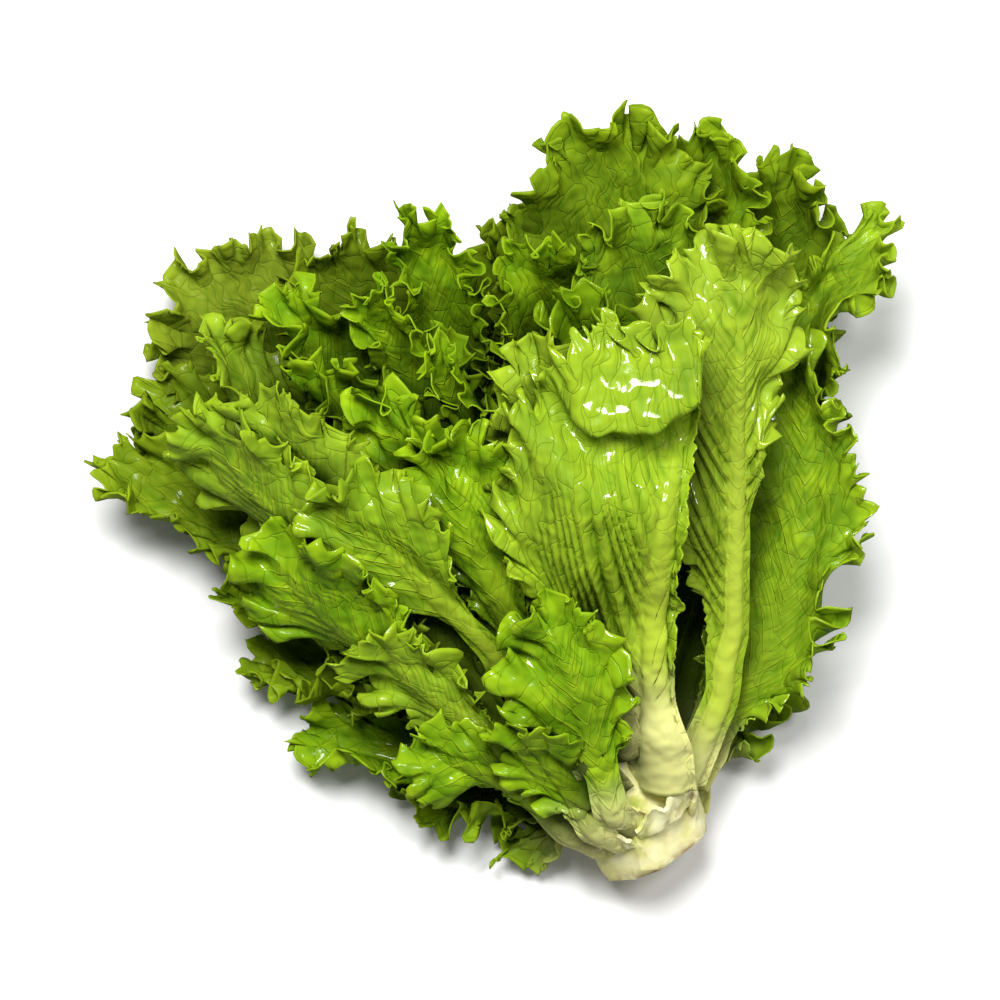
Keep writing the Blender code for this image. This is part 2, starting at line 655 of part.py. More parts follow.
def main():
    for thing in list(bpy.data.objects):
        bpy.data.objects.remove(thing)
    leaves = [make_leaf(habit, number) for number, habit in enumerate(LEAVES)]
    lay_down(leaves)
    wave_margins(leaves)
    settle(leaves)
    inner = add_object("collar_inner", *stem_mesh(COLLAR - 0.5 * CLEARANCE), CREAM)
    outer = add_object("collar_outer", *stem_mesh(COLLAR + 0.5 * CLEARANCE), CREAM)
    bases = []
    for one in leaves:
        base = add_object("leaf_base", *stalk_mesh(one), CREAM)
        join_by(base, "INTERSECT", inner)
        bases.append(base)
        join_by(add_object(one["habit"]["name"], *thicken(one), GREEN), "DIFFERENCE", outer)
    join_by(add_object("stem", *stem_mesh(), CREAM), "UNION", *bases)
    for helper in (inner, outer, *bases):
        bpy.data.objects.remove(helper)
    stand_on_origin(bpy.data.objects)


main()
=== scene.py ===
import math

import bpy
import numpy as np
from mathutils import Matrix, Vector, noise
from mathutils.bvhtree import BVHTree


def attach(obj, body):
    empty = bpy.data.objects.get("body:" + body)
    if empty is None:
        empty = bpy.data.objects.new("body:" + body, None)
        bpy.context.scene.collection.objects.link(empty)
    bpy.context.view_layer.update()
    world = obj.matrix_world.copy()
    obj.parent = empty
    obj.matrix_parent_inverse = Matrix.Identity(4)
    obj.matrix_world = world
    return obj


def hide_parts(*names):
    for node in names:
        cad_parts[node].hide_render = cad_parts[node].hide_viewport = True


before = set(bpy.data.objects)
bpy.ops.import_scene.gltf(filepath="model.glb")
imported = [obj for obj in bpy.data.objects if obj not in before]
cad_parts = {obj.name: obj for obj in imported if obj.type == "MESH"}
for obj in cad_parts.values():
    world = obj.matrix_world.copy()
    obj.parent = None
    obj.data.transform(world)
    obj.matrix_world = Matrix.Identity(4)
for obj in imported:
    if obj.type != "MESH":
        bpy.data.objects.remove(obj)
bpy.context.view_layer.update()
print("frame loaded:", len(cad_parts), "nodes")

# Lengths are in millimetres, as the head is laid out, until a mesh is made. The table is z = 0.
mm = 0.001
planShift = (2.844, 0.792, 0.0)  # what sets the middle of the head's plan over the frame's origin

crown = {
    "foot": np.array((54.0, -119.0, 18.0)),
    "axis": np.array((-0.36, 0.80, 0.48)),
    "length": 104.0,
    # height up the stem, and its radius there
    "profile": ((0, 20), (10, 20), (34, 23), (60, 23), (84, 16), (104, 6)),
    "collar": 9.0,
}
sheet = {  # the plain leaf that the head is laid out with, the same as the solids
    "blade": 0.9,
    "rib": 3.2,
    "ribHalfWidth": 5.0,
    "wing": 2.0,
    "ribEnd": 0.88,
    "veinSlant": 0.75,
    "waveLength": 34.0,
    "waveHeight": 4.0,
    "swellLength": 74.0,
    "swellHeight": 4.0,
    "spinePoints": 60,
    "rootRun": 14.0,
    "rootLowest": 6.0,
    "rootDepth": 3.0,
}
laying = {
    "rounds": 8,
    "gap": 0.6,
    "drape": 9.0,
    "drapeSlope": 1.2,
    "sky": 500.0,
    # how far off a leaf's neighbours count, what stays free before them, and the share that waves may use
    "roomSeen": 12.0,
    "roomKept": 1.5,
    "roomUsed": 0.4,
}


# what only shows on a leaf and isn't in the solids, unless the leaf says otherwise
commonLooks = {
    "age": 0.0,
    "pale": 0.0,
    "wet": 0.15,
    "rib": 0.45,  # how much the rib stands out in colour
    "ribWide": 1.0,
    "ribThickness": 5.4,
    "rooted": 36.0,  # how far up the pale root reaches
    "baseWide": 0.0,
    "pitch": 7.6,  # from one side vein to the next along the rib
    "slant": 1.3,  # how steeply side veins climb, and how much they bend as they do
    "bend": 1.15,
    "pleats": 0.7,
    "pleatEnd": 1.2,  # the share of the length where the pleats have died away
    "flare": 3.0,  # how far the outer blade turns up towards the sky
    "rightFrill": 1.0,
    "folded": False,
    "outline": {},
    "rightOutline": {},
    "rows": 9,
    "detail": 1.0,
}


def leaf(name, widths, facing, spine, cup=70.0, columns=9, wave=1.0, start=0.20, widest=0.68, **looks):
    # one leaf's habit: half widths left and right, where its back looks, what its rib passes, the shares of
    # its length where the blade starts and is widest, and then its looks, with the half widths as shown
    return dict(
        name=name, widths=widths, facing=facing, spine=spine, cup=math.radians(cup), columns=columns,
        wave=wave, start=start, widest=widest, looks={"shown": widths, **commonLooks, **looks},
    )


# Leaves that lie under the head, backs to the table, from the left round to the right
underLeaves = [
    leaf("under_leaf_01", (8, 8), (-0.2, -0.5, -0.8),
         [(28, -110, 12), (10, -115, 9), (-1, -116, 8)], columns=7, pale=0.2),
    leaf("under_leaf_02", (14, 17), (-0.2, -0.6, -0.8),
         [(30, -106, 16), (10, -104, 12), (-18, -102, 9), (-36, -97, 12)], columns=7, age=0.25),
    leaf("under_leaf_03", (46, 43), (-0.2, 0.1, -0.97),
         [(24, -78, 8), (-22, -20, 2), (-66, 36, -1), (-109, 77, 26)],
         wave=1.3, age=0.7, pale=0.2, flare=0.5),
    leaf("under_leaf_04", (16, 19), (-0.3, -0.5, -0.8),
         [(30, -100, 18), (-2, -92, 14), (-40, -86, 11), (-69, -78, 14)],
         wet=0.4, outline=dict(start=0.38, widest=0.76)),
    leaf("under_leaf_05", (20, 30), (0.0, 0.1, -0.99),
         [(32, -78, 8), (12, -26, -2), (9, 36, -2), (13, 101, 26)], age=0.45),
    leaf("under_leaf_06", (28, 24), (0.2, 0.1, -0.97),
         [(52, -76, 8), (72, 0, -1), (87, 60, 4), (99, 114, 40)], age=0.35),
    leaf("under_leaf_07", (14, 13), (-0.3, -0.5, -0.8),
         [(24, -94, 20), (-20, -74, 17), (-58, -60, 15), (-87, -54, 17)],
         age=0.4, outline=dict(start=0.42, widest=0.78)),
    leaf("under_leaf_08", (30, 32), (-0.3, -0.1, -0.95),
         [(24, -84, 12), (-30, -36, 8), (-80, 4, 11), (-121, 36, 26)], wave=1.3, age=0.5),
    leaf("under_leaf_09", (13, 10), (0.4, -0.2, -0.9),
         [(66, -92, 18), (80, -78, 16), (97, -62, 20)], columns=7, age=0.2),
    leaf("under_leaf_10", (16, 14), (-0.4, -0.4, -0.8),
         [(22, -88, 22), (-28, -58, 20), (-68, -38, 19), (-93, -28, 23)],
         age=0.3, outline=dict(start=0.42, widest=0.78)),
    leaf("under_leaf_11", (32, 34), (-0.1, 0.1, -0.98),
         [(24, -74, 14), (-8, -12, 9), (-34, 42, 11), (-60, 88, 34)], wave=1.3, age=0.6),
    leaf("under_leaf_12", (28, 26), (0.1, 0.1, -0.98),
         [(46, -74, 14), (56, 8, 9), (66, 75, 14), (74, 122, 44)], wave=1.3, age=0.2),
    leaf("under_leaf_13", (28, 8), (-0.4, -0.4, -0.8),
         [(20, -84, 23), (-40, -47, 21), (-94, -10, 23), (-138, 6, 34)], age=0.5),
    leaf("under_leaf_14", (42, 40), (0.0, 0.1, -0.99),
         [(40, -72, 16), (34, 0, 11), (36, 70, 14), (42, 129, 44)], wave=1.3, age=0.35),
    leaf("under_leaf_15", (34, 8), (0.5, -0.1, -0.8),
         [(58, -76, 20), (80, -10, 22), (95, 35, 30), (105, 66, 42),
          (125, 94, 56)], wave=1.3, age=0.1, pale=0.15),
    leaf("under_leaf_16", (20, 15), (-0.1, 0.1, -0.98),
         [(22, -66, 24), (-2, -2, 26), (-18, 50, 40), (-30, 98, 72)], cup=150),
    leaf("under_leaf_17", (22, 28), (0.3, 0.0, -0.95),
         [(68, -80, 32), (90, -48, 44), (98, -18, 54), (101, 8, 60),
          (99, 34, 66), (95, 54, 72)], start=0.1, widest=0.45, wet=1.0, rib=0.2, pale=0.12),
]

# Leaves round the heart, most of them hidden but for their frills
heartLeaves = [
    leaf("heart_leaf_01", (22, 24), (-0.5, -0.2, -0.7),
         [(22, -76, 36), (-28, -32, 36), (-68, 14, 48), (-97, 56, 66)], wave=1.3, pale=0.3),
    leaf("heart_leaf_02", (18, 26), (0.0, 0.3, -0.9),
         [(28, -62, 34), (20, 0, 32), (18, 50, 44), (20, 88, 72)], cup=90, wave=1.3, shown=(12, 26)),
    leaf("heart_leaf_03", (18, 22), (-0.5, 0.2, -0.7),
         [(18, -68, 42), (-22, -14, 44), (-50, 34, 54), (-72, 68, 78)], cup=110, wave=1.3),
    leaf("heart_leaf_04", (28, 30), (0.3, 0.3, -0.9),
         [(38, -64, 38), (42, 0, 36), (48, 56, 46), (56, 98, 74)], wave=1.3, pale=0.1),
    leaf("heart_leaf_05", (18, 20), (-0.3, 0.5, -0.7),
         [(18, -64, 44), (-6, -10, 46), (-26, 34, 56), (-47, 70, 84)], cup=120, wave=1.3, shown=(18, 8)),
    leaf("heart_leaf_06", (15, 16), (-0.6, 0.1, -0.5),
         [(16, -58, 52), (-18, -14, 60), (-44, 18, 72), (-64, 42, 94)], columns=7, cup=120, wave=1.3),
    leaf("heart_leaf_07", (24, 26), (0.4, 0.4, -0.5),
         [(26, -54, 50), (30, 0, 56), (32, 38, 68), (36, 66, 92)], columns=7, cup=80, wave=1.3, wet=0.6),
    leaf("heart_leaf_08", (16, 18), (-0.3, 0.6, -0.3),
         [(18, -54, 54), (0, -6, 64), (-12, 26, 78), (-25, 48, 102)],
         columns=7, cup=120, wave=1.3, shown=(16, 5)),
    leaf("heart_leaf_09", (15, 15), (-0.4, -0.2, 0.7),
         [(16, -54, 60), (-10, -16, 74), (-26, 10, 86), (-44, 34, 102)], columns=7, cup=110, wave=1.3),
]

# Leaves over the head, backs to the sky
overLeaves = [
    leaf("over_leaf_01", (22, 20), (0.1, -0.1, 0.98),
         [(34, -70, 60), (22, -26, 80), (16, 16, 98), (11, 50, 112)],
         columns=7, cup=50, pale=0.35, shown=(17, 20)),
    leaf("over_leaf_02", (24, 24), (-0.4, -0.4, 0.7),
         [(22, -84, 42), (-18, -50, 54), (-52, -10, 66), (-80, 34, 88)], wave=1.3, pale=0.3),
    leaf("over_leaf_03", (18, 19), (0.0, -0.3, 0.95),
         [(34, -82, 52), (10, -46, 68), (-9, -12, 86), (-20, 22, 104)],
         start=0.35, widest=0.78, wet=0.6, rib=0.7, outline=dict(start=0.45, widest=0.80)),
    leaf("over_leaf_04", (30, 13), (0.2, -0.1, 0.97),
         [(62, -84, 48), (75, -60, 54), (77, -20, 72), (77, 32, 94),
          (77, 58, 104), (75, 85, 112)], cup=60, widest=0.76,
         pale=0.4, wet=0.9, rib=1.0, ribThickness=6.0, ribWide=0.65, rightFrill=0.9,
         pleats=3.6, pleatEnd=0.80, pitch=8.0, slant=0.85, bend=1.3, shown=(34, 20),
         outline=dict(start=0.22, widest=0.76), rightOutline=dict(start=0.50, widest=0.86),
         rows=46, detail=1.4),
    leaf("over_leaf_05", (24, 24), (-0.4, -0.5, 0.6),
         [(24, -92, 36), (-24, -58, 44), (-64, -18, 54), (-98, 30, 74)], wave=1.3, pale=0.25),
    leaf("over_leaf_06", (20, 22), (-0.2, -0.3, 0.9),
         [(30, -86, 50), (2, -56, 62), (-26, -27, 80), (-58, 2, 98)], start=0.45, widest=0.82,
         pale=0.15, wet=1.0, rib=0.9, outline=dict(start=0.56, widest=0.86)),
    leaf("over_leaf_07", (60, 8), (-0.1, -0.2, 0.97),
         [(46, -84, 54), (50, -46, 70), (52, -19, 86), (55, 6, 100),
          (60, 32, 114), (63, 52, 128)], cup=52, columns=10, start=0.16, widest=0.52,
         pale=0.25, wet=1.0, rib=1.0, ribThickness=7.5, ribWide=0.85, rightFrill=0.15,
         pleats=5.4, pleatEnd=0.70, pitch=11.0, slant=0.85, bend=1.3, shown=(60, 4),
         rooted=56, baseWide=0.6, folded=True, rows=60, detail=1.5),
    leaf("over_leaf_08", (20, 24), (-0.4, -0.6, 0.7),
         [(24, -98, 36), (-12, -72, 46), (-50, -44, 58), (-82, -14, 72)], start=0.25,
         wet=0.8, outline=dict(start=0.40, widest=0.76)),
    leaf("over_leaf_09", (15, 15), (-0.3, -0.5, 0.8),
         [(24, -102, 38), (2, -84, 50), (-24, -64, 60), (-48, -46, 66)],
         columns=7, start=0.3, pale=0.25, wet=0.6, outline=dict(start=0.45, widest=0.80)),
    leaf("over_leaf_10", (12, 14), (-0.3, -0.6, 0.8),
         [(28, -110, 38), (8, -98, 46), (-12, -88, 50), (-30, -80, 52)],
         columns=7, wet=0.5, outline=dict(start=0.40, widest=0.76)),
    leaf("over_leaf_11", (22, 16), (0.0, -0.4, 0.9),
         [(38, -100, 54), (32, -84, 70), (24, -60, 86), (13, -34, 98)],
         start=0.1, widest=0.6, wet=1.0, rib=0.25, outline=dict(start=0.30, widest=0.70)),
    leaf("over_leaf_12", (15, 13), (-0.2, -0.5, 0.9),
         [(34, -106, 48), (24, -96, 60), (14, -84, 68), (5, -70, 74)],
         columns=7, start=0.12, widest=0.6, wet=0.7, outline=dict(start=0.30, widest=0.70)),
]


leaves = underLeaves + heartLeaves + overLeaves


def unit(vectors):
    vectors = np.asarray(vectors, float)
    return vectors / np.maximum(np.linalg.norm(vectors, axis=-1, keepdims=True), 1e-9)


def smoothStep(x):
    x = np.clip(x, 0.0, 1.0)
    return x * x * (3 - 2 * x)


def stemRadius(height):
    heights, radii = zip(*crown["profile"])
    return np.interp(height, heights, radii)


def outsideStem(points):
    axis = unit(crown["axis"])
    offset = np.atleast_2d(points) - crown["foot"]
    height = offset @ axis
    radial = offset - height[:, None] * axis
    within = np.clip(height, 0, crown["length"])
    out = np.linalg.norm(radial, axis=1) - stemRadius(within)
    beyond = np.abs(height - within)
    return np.where(beyond > 0, np.hypot(np.maximum(out, 0), beyond), out), unit(radial)


def smoothPath(knots, count):
    knots = np.asarray(knots, float)
    ends = np.vstack((2 * knots[0] - knots[1], knots, 2 * knots[-1] - knots[-2]))
    t = np.linspace(0, 1, 16, endpoint=False)[:, None]
    pieces = [
        0.5 * (2 * b + (c - a) * t + (2 * a - 5 * b + 4 * c - d) * t**2 + (3 * b - a - 3 * c + d) * t**3)
        for a, b, c, d in zip(ends, ends[1:], ends[2:], ends[3:])
    ]
    dense = np.vstack([*pieces, knots[-1:]])
    run = np.concatenate(([0], np.cumsum(np.linalg.norm(np.diff(dense, axis=0), axis=1))))
    at = np.linspace(0, run[-1], count)
    return np.stack([np.interp(at, run, dense[:, k]) for k in range(3)], axis=1), run[-1]


def makeSpine(habit):
    clear, away = outsideStem(habit["spine"])
    passed = np.array(habit["spine"]) + away * np.clip(5 - clear, 0, None)[:, None]
    axis = unit(crown["axis"])
    seat = max(np.dot(passed[0] - crown["foot"], axis) - sheet["rootRun"], sheet["rootLowest"])
    root = crown["foot"] + axis * seat + away[0] * (stemRadius(seat) - sheet["rootDepth"])
    count = sheet["spinePoints"]
    points, length = smoothPath([root, *passed], count)
    along = unit(np.gradient(points, axis=0))
    backs = np.empty_like(points)
    middle = int(0.6 * count)
    for way in (range(middle, count), range(middle, -1, -1)):
        back = np.array(habit["facing"])
        for k in way:
            back = unit(back - along[k] * np.dot(back, along[k]))
            backs[k] = back
    return dict(points=points, backs=backs, sides=np.cross(along, backs), length=length)


def ribHalfWidth(share):
    return sheet["ribHalfWidth"] * (1 - np.asarray(share)) ** 0.8 + 0.5


def ribThickness(share):
    fade = np.clip(1 - np.asarray(share) / sheet["ribEnd"], 0, 1)
    return sheet["blade"] + (sheet["rib"] - sheet["blade"]) * fade


def margin(habit, length, halfWidth, count):
    # one side's outline from root to tip: along, out, the run along it and how far the blade has opened
    share = np.linspace(0, 1, 241)
    widest = habit["widest"]
    opening = smoothStep((share - habit["start"]) / (widest - habit["start"]))
    rounding = np.sqrt(np.clip(1 - ((share - widest) / (1 - widest)) ** 2, 0, 1))
    rounding[share < widest] = 1.0
    rounding **= 0.85
    stalk = ribHalfWidth(share) + sheet["wing"] * (1 - share)
    out = stalk * rounding + np.maximum(halfWidth - stalk, 0) * opening * rounding
    steps = np.hypot(np.diff(share * length), np.diff(out))
    run = np.concatenate(([0], np.cumsum(steps)))
    crowding = np.concatenate(([0], np.cumsum(steps * (0.6 + 0.6 * opening[1:]))))
    at = np.linspace(0, crowding[-1], count + 1)
    return [np.interp(at, crowding, values) for values in (share * length, out, run, opening)]


def veinFoot(along, out, length):
    # where the side vein that ends at a margin point leaves the rib
    slant = sheet["veinSlant"]
    return (along - slant * (out - out[0])) * sheet["ribEnd"] * length / (length + slant * out[0])


def stitch(fine, coarse):
    faces = []
    if len(fine) == len(coarse):
        for k in range(len(fine) - 1):
            a, b, c, d = fine[k], fine[k + 1], coarse[k + 1], coarse[k]
            faces += [(a, b, c), (a, c, d)] if k % 2 else [(a, b, d), (b, c, d)]
    else:
        for k in range(len(coarse) - 1):
            a, b, c = fine[2 * k : 2 * k + 3]
            faces += [(a, b, coarse[k]), (b, coarse[k + 1], coarse[k]), (b, c, coarse[k + 1])]
    return [f for f in faces if len(set(f)) == 3]


def layOutPlain(habit, length):
    # the plain leaf laid flat: out, along, share of the way to the margin, run and opening, and triangles
    table, faces, ribs, between = [], [], [], []
    rowKinds = ((1.0, 2 * habit["columns"]), (0.6, habit["columns"]), (0.0, habit["columns"]))
    ribEnd = sheet["ribEnd"]

    def add(*values):
        table.append(values)
        return len(table) - 1

    tip = [
        add(0.0, ribEnd * length + share * (1 - ribEnd) * length, share, 0.0, 1.0) for share, _ in rowKinds
    ]
    for side, halfWidth in zip((-1, 1), habit["widths"]):
        rows = []
        for level, (share, steps) in enumerate(rowKinds):
            b, a, run, opening = margin(habit, length, halfWidth, steps)
            foot = veinFoot(b, a, length)
            edge = np.minimum(ribHalfWidth(foot / length), a - 0.8)
            row = [
                add(side * (edge[k] + share * (a[k] - edge[k])), foot[k] + share * (b[k] - foot[k]),
                    share, side * (run[-1] - run[k]), opening[k])
                for k in range(steps)
            ]
            rows.append([*row, tip[level]])
        for outer, inner in zip(rows, rows[1:]):
            found = stitch(outer, inner)
            faces += found if side > 0 else [f[::-1] for f in found]
        ribs.append(rows[-1])
        between += zip(rows[0][1::2], rows[0][::2], rows[0][2::2])
    pairs = list(zip(*ribs))[:-1]
    middle = [add(0.0, 0.5 * (table[a][1] + table[b][1]), 0.0, 0.0, 0.0) for a, b in pairs] + [tip[-1]]
    faces += stitch(ribs[1], middle)
    faces += [f[::-1] for f in stitch(ribs[0], middle)]
    return np.array(table), faces, middle, np.array(between)


def bendOntoSpine(habit, flat, spine):
    # carries flat points (out, along) onto the spine, cupped across
    out, along = flat[:, 0], flat[:, 1]
    at = np.linspace(0, spine["length"], sheet["spinePoints"])
    line, back, side = (
        np.stack([np.interp(along, at, spine[key][:, k]) for k in range(3)], axis=1)
        for key in ("points", "backs", "sides")
    )
    back, side = unit(back), unit(side)
    bend = habit["cup"] / sum(habit["widths"])
    angle = (out * bend)[:, None]
    return line + side * np.sin(angle) / bend - back * (1 - np.cos(angle)) / bend


def makePlainLeaf(habit, number):
    spine = makeSpine(habit)
    flat, faces, middle, between = layOutPlain(habit, spine["length"])
    thick = np.full(len(flat), sheet["blade"])
    thick[middle] = ribThickness(flat[middle, 1] / spine["length"])
    points = bendOntoSpine(habit, flat, spine)
    share, run, opening = flat[:, 2], flat[:, 3], flat[:, 4]
    swell = np.sin(2 * math.pi * run / sheet["swellLength"] + 2.4 * number)
    frill = np.sin(2 * math.pi * run / sheet["waveLength"] + 4.08 * number)
    waves = sheet["swellHeight"] * share**1.5 * swell + sheet["waveHeight"] * share**2.5 * frill
    return dict(
        habit=habit, spine=spine, flat=flat, faces=faces, thick=thick, between=between, opening=opening,
        bent=points, points=points.copy(), waves=smoothStep(opening) * habit["wave"] * waves,
    )


def straightenStalk(one):
    middle, before, after = one["between"].T
    closed = 1 - smoothStep(3 * one["opening"][middle])[:, None]
    points = one["points"]
    points[middle] += closed * (0.5 * (points[before] + points[after]) - points[middle])


def steepness(normals):
    return 1 / np.maximum(np.abs(normals[..., 2]), 0.6)


def liftsNeeded(one, tree, thick, faces, bare):
    # how far each point must rise to clear the leaves laid down before it
    needed = np.zeros(len(one["points"]))
    clear = outsideStem(one["points"])[0] > crown["collar"]
    for k in np.flatnonzero(clear):
        x, y, z = one["points"][k]
        spot, normal, face, _ = tree.ray_cast((x, y, laying["sky"]), (0, 0, -1))
        if spot is not None:
            half = 0.5 * (one["thick"][k] + thick[list(faces[face])].max())
            needed[k] = spot[2] + (half + laying["gap"]) * steepness(np.array(normal)) - z
    own = BVHTree.FromPolygons(one["points"].tolist(), one["faces"])
    for x, y, z, other in bare:
        spot, normal, face, _ = own.ray_cast((x, y, -laying["sky"]), (0, 0, 1))
        if spot is not None:
            corners = list(one["faces"][face])
            half = 0.5 * (one["thick"][corners].max() + other)
            rise = z + (half + laying["gap"]) * steepness(np.array(normal)) - spot[2]
            for k in corners:
                if clear[k]:
                    needed[k] = max(needed[k], rise)
    return np.maximum(needed, 0)


def layDown(plain):
    # lays the leaves down from the table up, each one lifted clear of those below it
    points, thick, faces, bare = np.zeros((0, 3)), np.zeros(0), [], []
    for one in plain:
        straightenStalk(one)
        one["points"][:, 2] = np.maximum(one["points"][:, 2], 0.5 * one["thick"])
        flat = one["points"][:, :2]
        apart = np.linalg.norm(flat[:, None] - flat[None], axis=2)
        if faces:
            tree = BVHTree.FromPolygons(points.tolist(), faces)
            for _ in range(laying["rounds"]):
                needed = liftsNeeded(one, tree, thick, faces, bare)
                if needed.max() < 0.05:
                    break
                reach = laying["drape"] + laying["drapeSlope"] * needed
                one["points"][:, 2] += (needed * smoothStep(1.25 - apart / reach)).max(axis=1)
        clear = outsideStem(one["points"])[0] > crown["collar"]
        first = len(points)
        faces += [tuple(first + v for v in f) for f in one["faces"] if clear[list(f)].any()]
        bare += [(*p, t) for p, t, seen in zip(one["points"], one["thick"], clear) if seen]
        points, thick = np.vstack((points, one["points"])), np.concatenate((thick, one["thick"]))


def sheetNormals(points, faces):
    corners = points[faces]
    across = np.cross(corners[:, 2] - corners[:, 0], corners[:, -1] - corners[:, 1])
    normals = np.zeros_like(points)
    for k in range(faces.shape[1]):
        np.add.at(normals, faces[:, k], across)
    return unit(normals)


# ways to look up at the sky: rings of them round the upright
skyWays = [
    np.array((math.sin(lean) * math.cos(turn), math.sin(lean) * math.sin(turn), math.cos(lean)))
    for lean, count in ((0.25, 5), (0.7, 8), (1.1, 8))
    for turn in 2 * math.pi * (np.arange(count) + 0.5 * lean) / count
]


def waveMargins(plain):
    # waves each margin as far as its neighbours leave room, and notes the room left on either side
    shifts = []
    for one in plain:
        points, faces = np.zeros((0, 3)), []
        for other in plain:
            if other is not one:
                faces += [tuple(len(points) + v for v in f) for f in other["faces"]]
                points = np.vstack((points, other["points"]))
        tree = BVHTree.FromPolygons(points.tolist(), faces)
        normals = sheetNormals(one["points"], np.array(one["faces"])[:, [0, 1, 2, 2]])
        one["open"] = np.array([
            np.mean([tree.ray_cast(point + 1.5 * way, way, 150.0)[0] is None for way in skyWays])
            for point in one["points"]
        ])
        room = np.full((len(normals), 2), laying["roomSeen"])
        for k, (point, normal) in enumerate(zip(one["points"], normals)):
            for way, sign in enumerate((1, -1)):
                spot, _, _, distance = tree.ray_cast(point, sign * normal, laying["roomSeen"])
                if spot is not None:
                    room[k, way] = max(distance - laying["roomKept"], 0)
        reach = np.where(one["waves"] > 0, room[:, 0], room[:, 1])
        height = np.sign(one["waves"]) * np.minimum(np.abs(one["waves"]), laying["roomUsed"] * reach)
        shifts.append(normals * height[:, None])
        one["room"] = room + np.stack((-height, height), axis=1)
    for one, shift in zip(plain, shifts):
        one["points"] += shift
        straightenStalk(one)
        one["points"][:, 2] = np.maximum(one["points"][:, 2], 0.5 * one["thick"])


def smoothField(places, values, stiffness=4.0):
    # a smooth function through values given at flat places, as a thin plate bends
    def bending(a, b):
        r2 = ((a[:, None] - b[None]) ** 2).sum(axis=2)
        return 0.5 * r2 * np.log(r2 + 1e-6)

    count = len(places)
    plane = np.column_stack((np.ones(count), places))
    system = np.zeros((count + 3, count + 3))
    system[:count, :count] = bending(places, places) + stiffness * np.eye(count)
    system[:count, count:] = plane
    system[count:, :count] = plane.T
    weights = np.linalg.solve(system, np.vstack((values, np.zeros((3, values.shape[1])))))

    def field(at):
        level = np.column_stack((np.ones(len(at)), at))
        return bending(at, places) @ weights[:count] + level @ weights[count:]

    return field


ruffles = {
    "marginStep": 2.35,  # length of margin to one column of faces
    "rowDepths": (0.0, 1.1, 2.4, 4.2, 6.4, 9.0, 12.0),  # rows near the margin, in from it
    "ribRows": 5,
    # how far in from the margin each kind reaches and how it fades, how far its turns drift and over what
    # run of margin, and how much its height varies and over what run
    "curl": dict(
        length=16.0, height=5.0, reach=18.0, fade=1.7, drift=3.4, driftRun=22, vary=0.5, varyRun=30,
    ),
    "crimp": dict(
        length=5.6, height=2.4, reach=7.0, fade=1.4, drift=3.0, driftRun=10, vary=0.6, varyRun=14,
    ),
    "lobe": dict(length=12.0, depth=2.4, reach=14.0, fade=1.5, drift=3.2, driftRun=16),
    "tooth": dict(length=4.0, depth=4.2, reach=3.6, drift=0.8, driftRun=6),
    "swell": dict(size=24.0, height=3.2),
    "pressed": dict(above=116.0, into=12.5),  # the highest frills lie down within the height of the head
    "bladeThickness": 0.45,
    # the room that is always taken, inside the blade and more at its margin, and how finely room is told
    "leastRoom": dict(inside=0.8, margin=2.4, reach=5.0),
    "roomSpread": 60.0,
}
# where the middle leaf's top is folded over
topFold = {
    # the fold's lower rim in plan, the shifts that round its corners, and its waves' heights and lengths
    "rim": ((8, 46), (16, 38), (24, 29), (33, 25), (41, 25.5), (50, 28), (60, 32), (72, 42)),
    "rounding": (-5, -2.5, 0, 2.5, 5),
    "waver": ((1.3, 3.4), (0.5, 1.5)),
    "left": dict(end=10.0, fade=16),
    "right": dict(end=74.0, fade=14),
    "rise": dict(height=9.5, over=6, sinks=0.45, sinksOver=22),
    "dip": dict(depth=7.0, at=-11, width=9),
    "overhang": dict(reach=8.5, at=4, width=6),
}


def wander(run, scale, seed):
    # a smooth random line along the margin, between about -1 and 1
    knots = np.linspace(run.min() - 1, run.max() + 1, 400)
    heights = [noise.noise(Vector((k / scale, seed * 7.31, 0.37 * seed))) for k in knots]
    return 1.8 * np.interp(run, knots, heights)


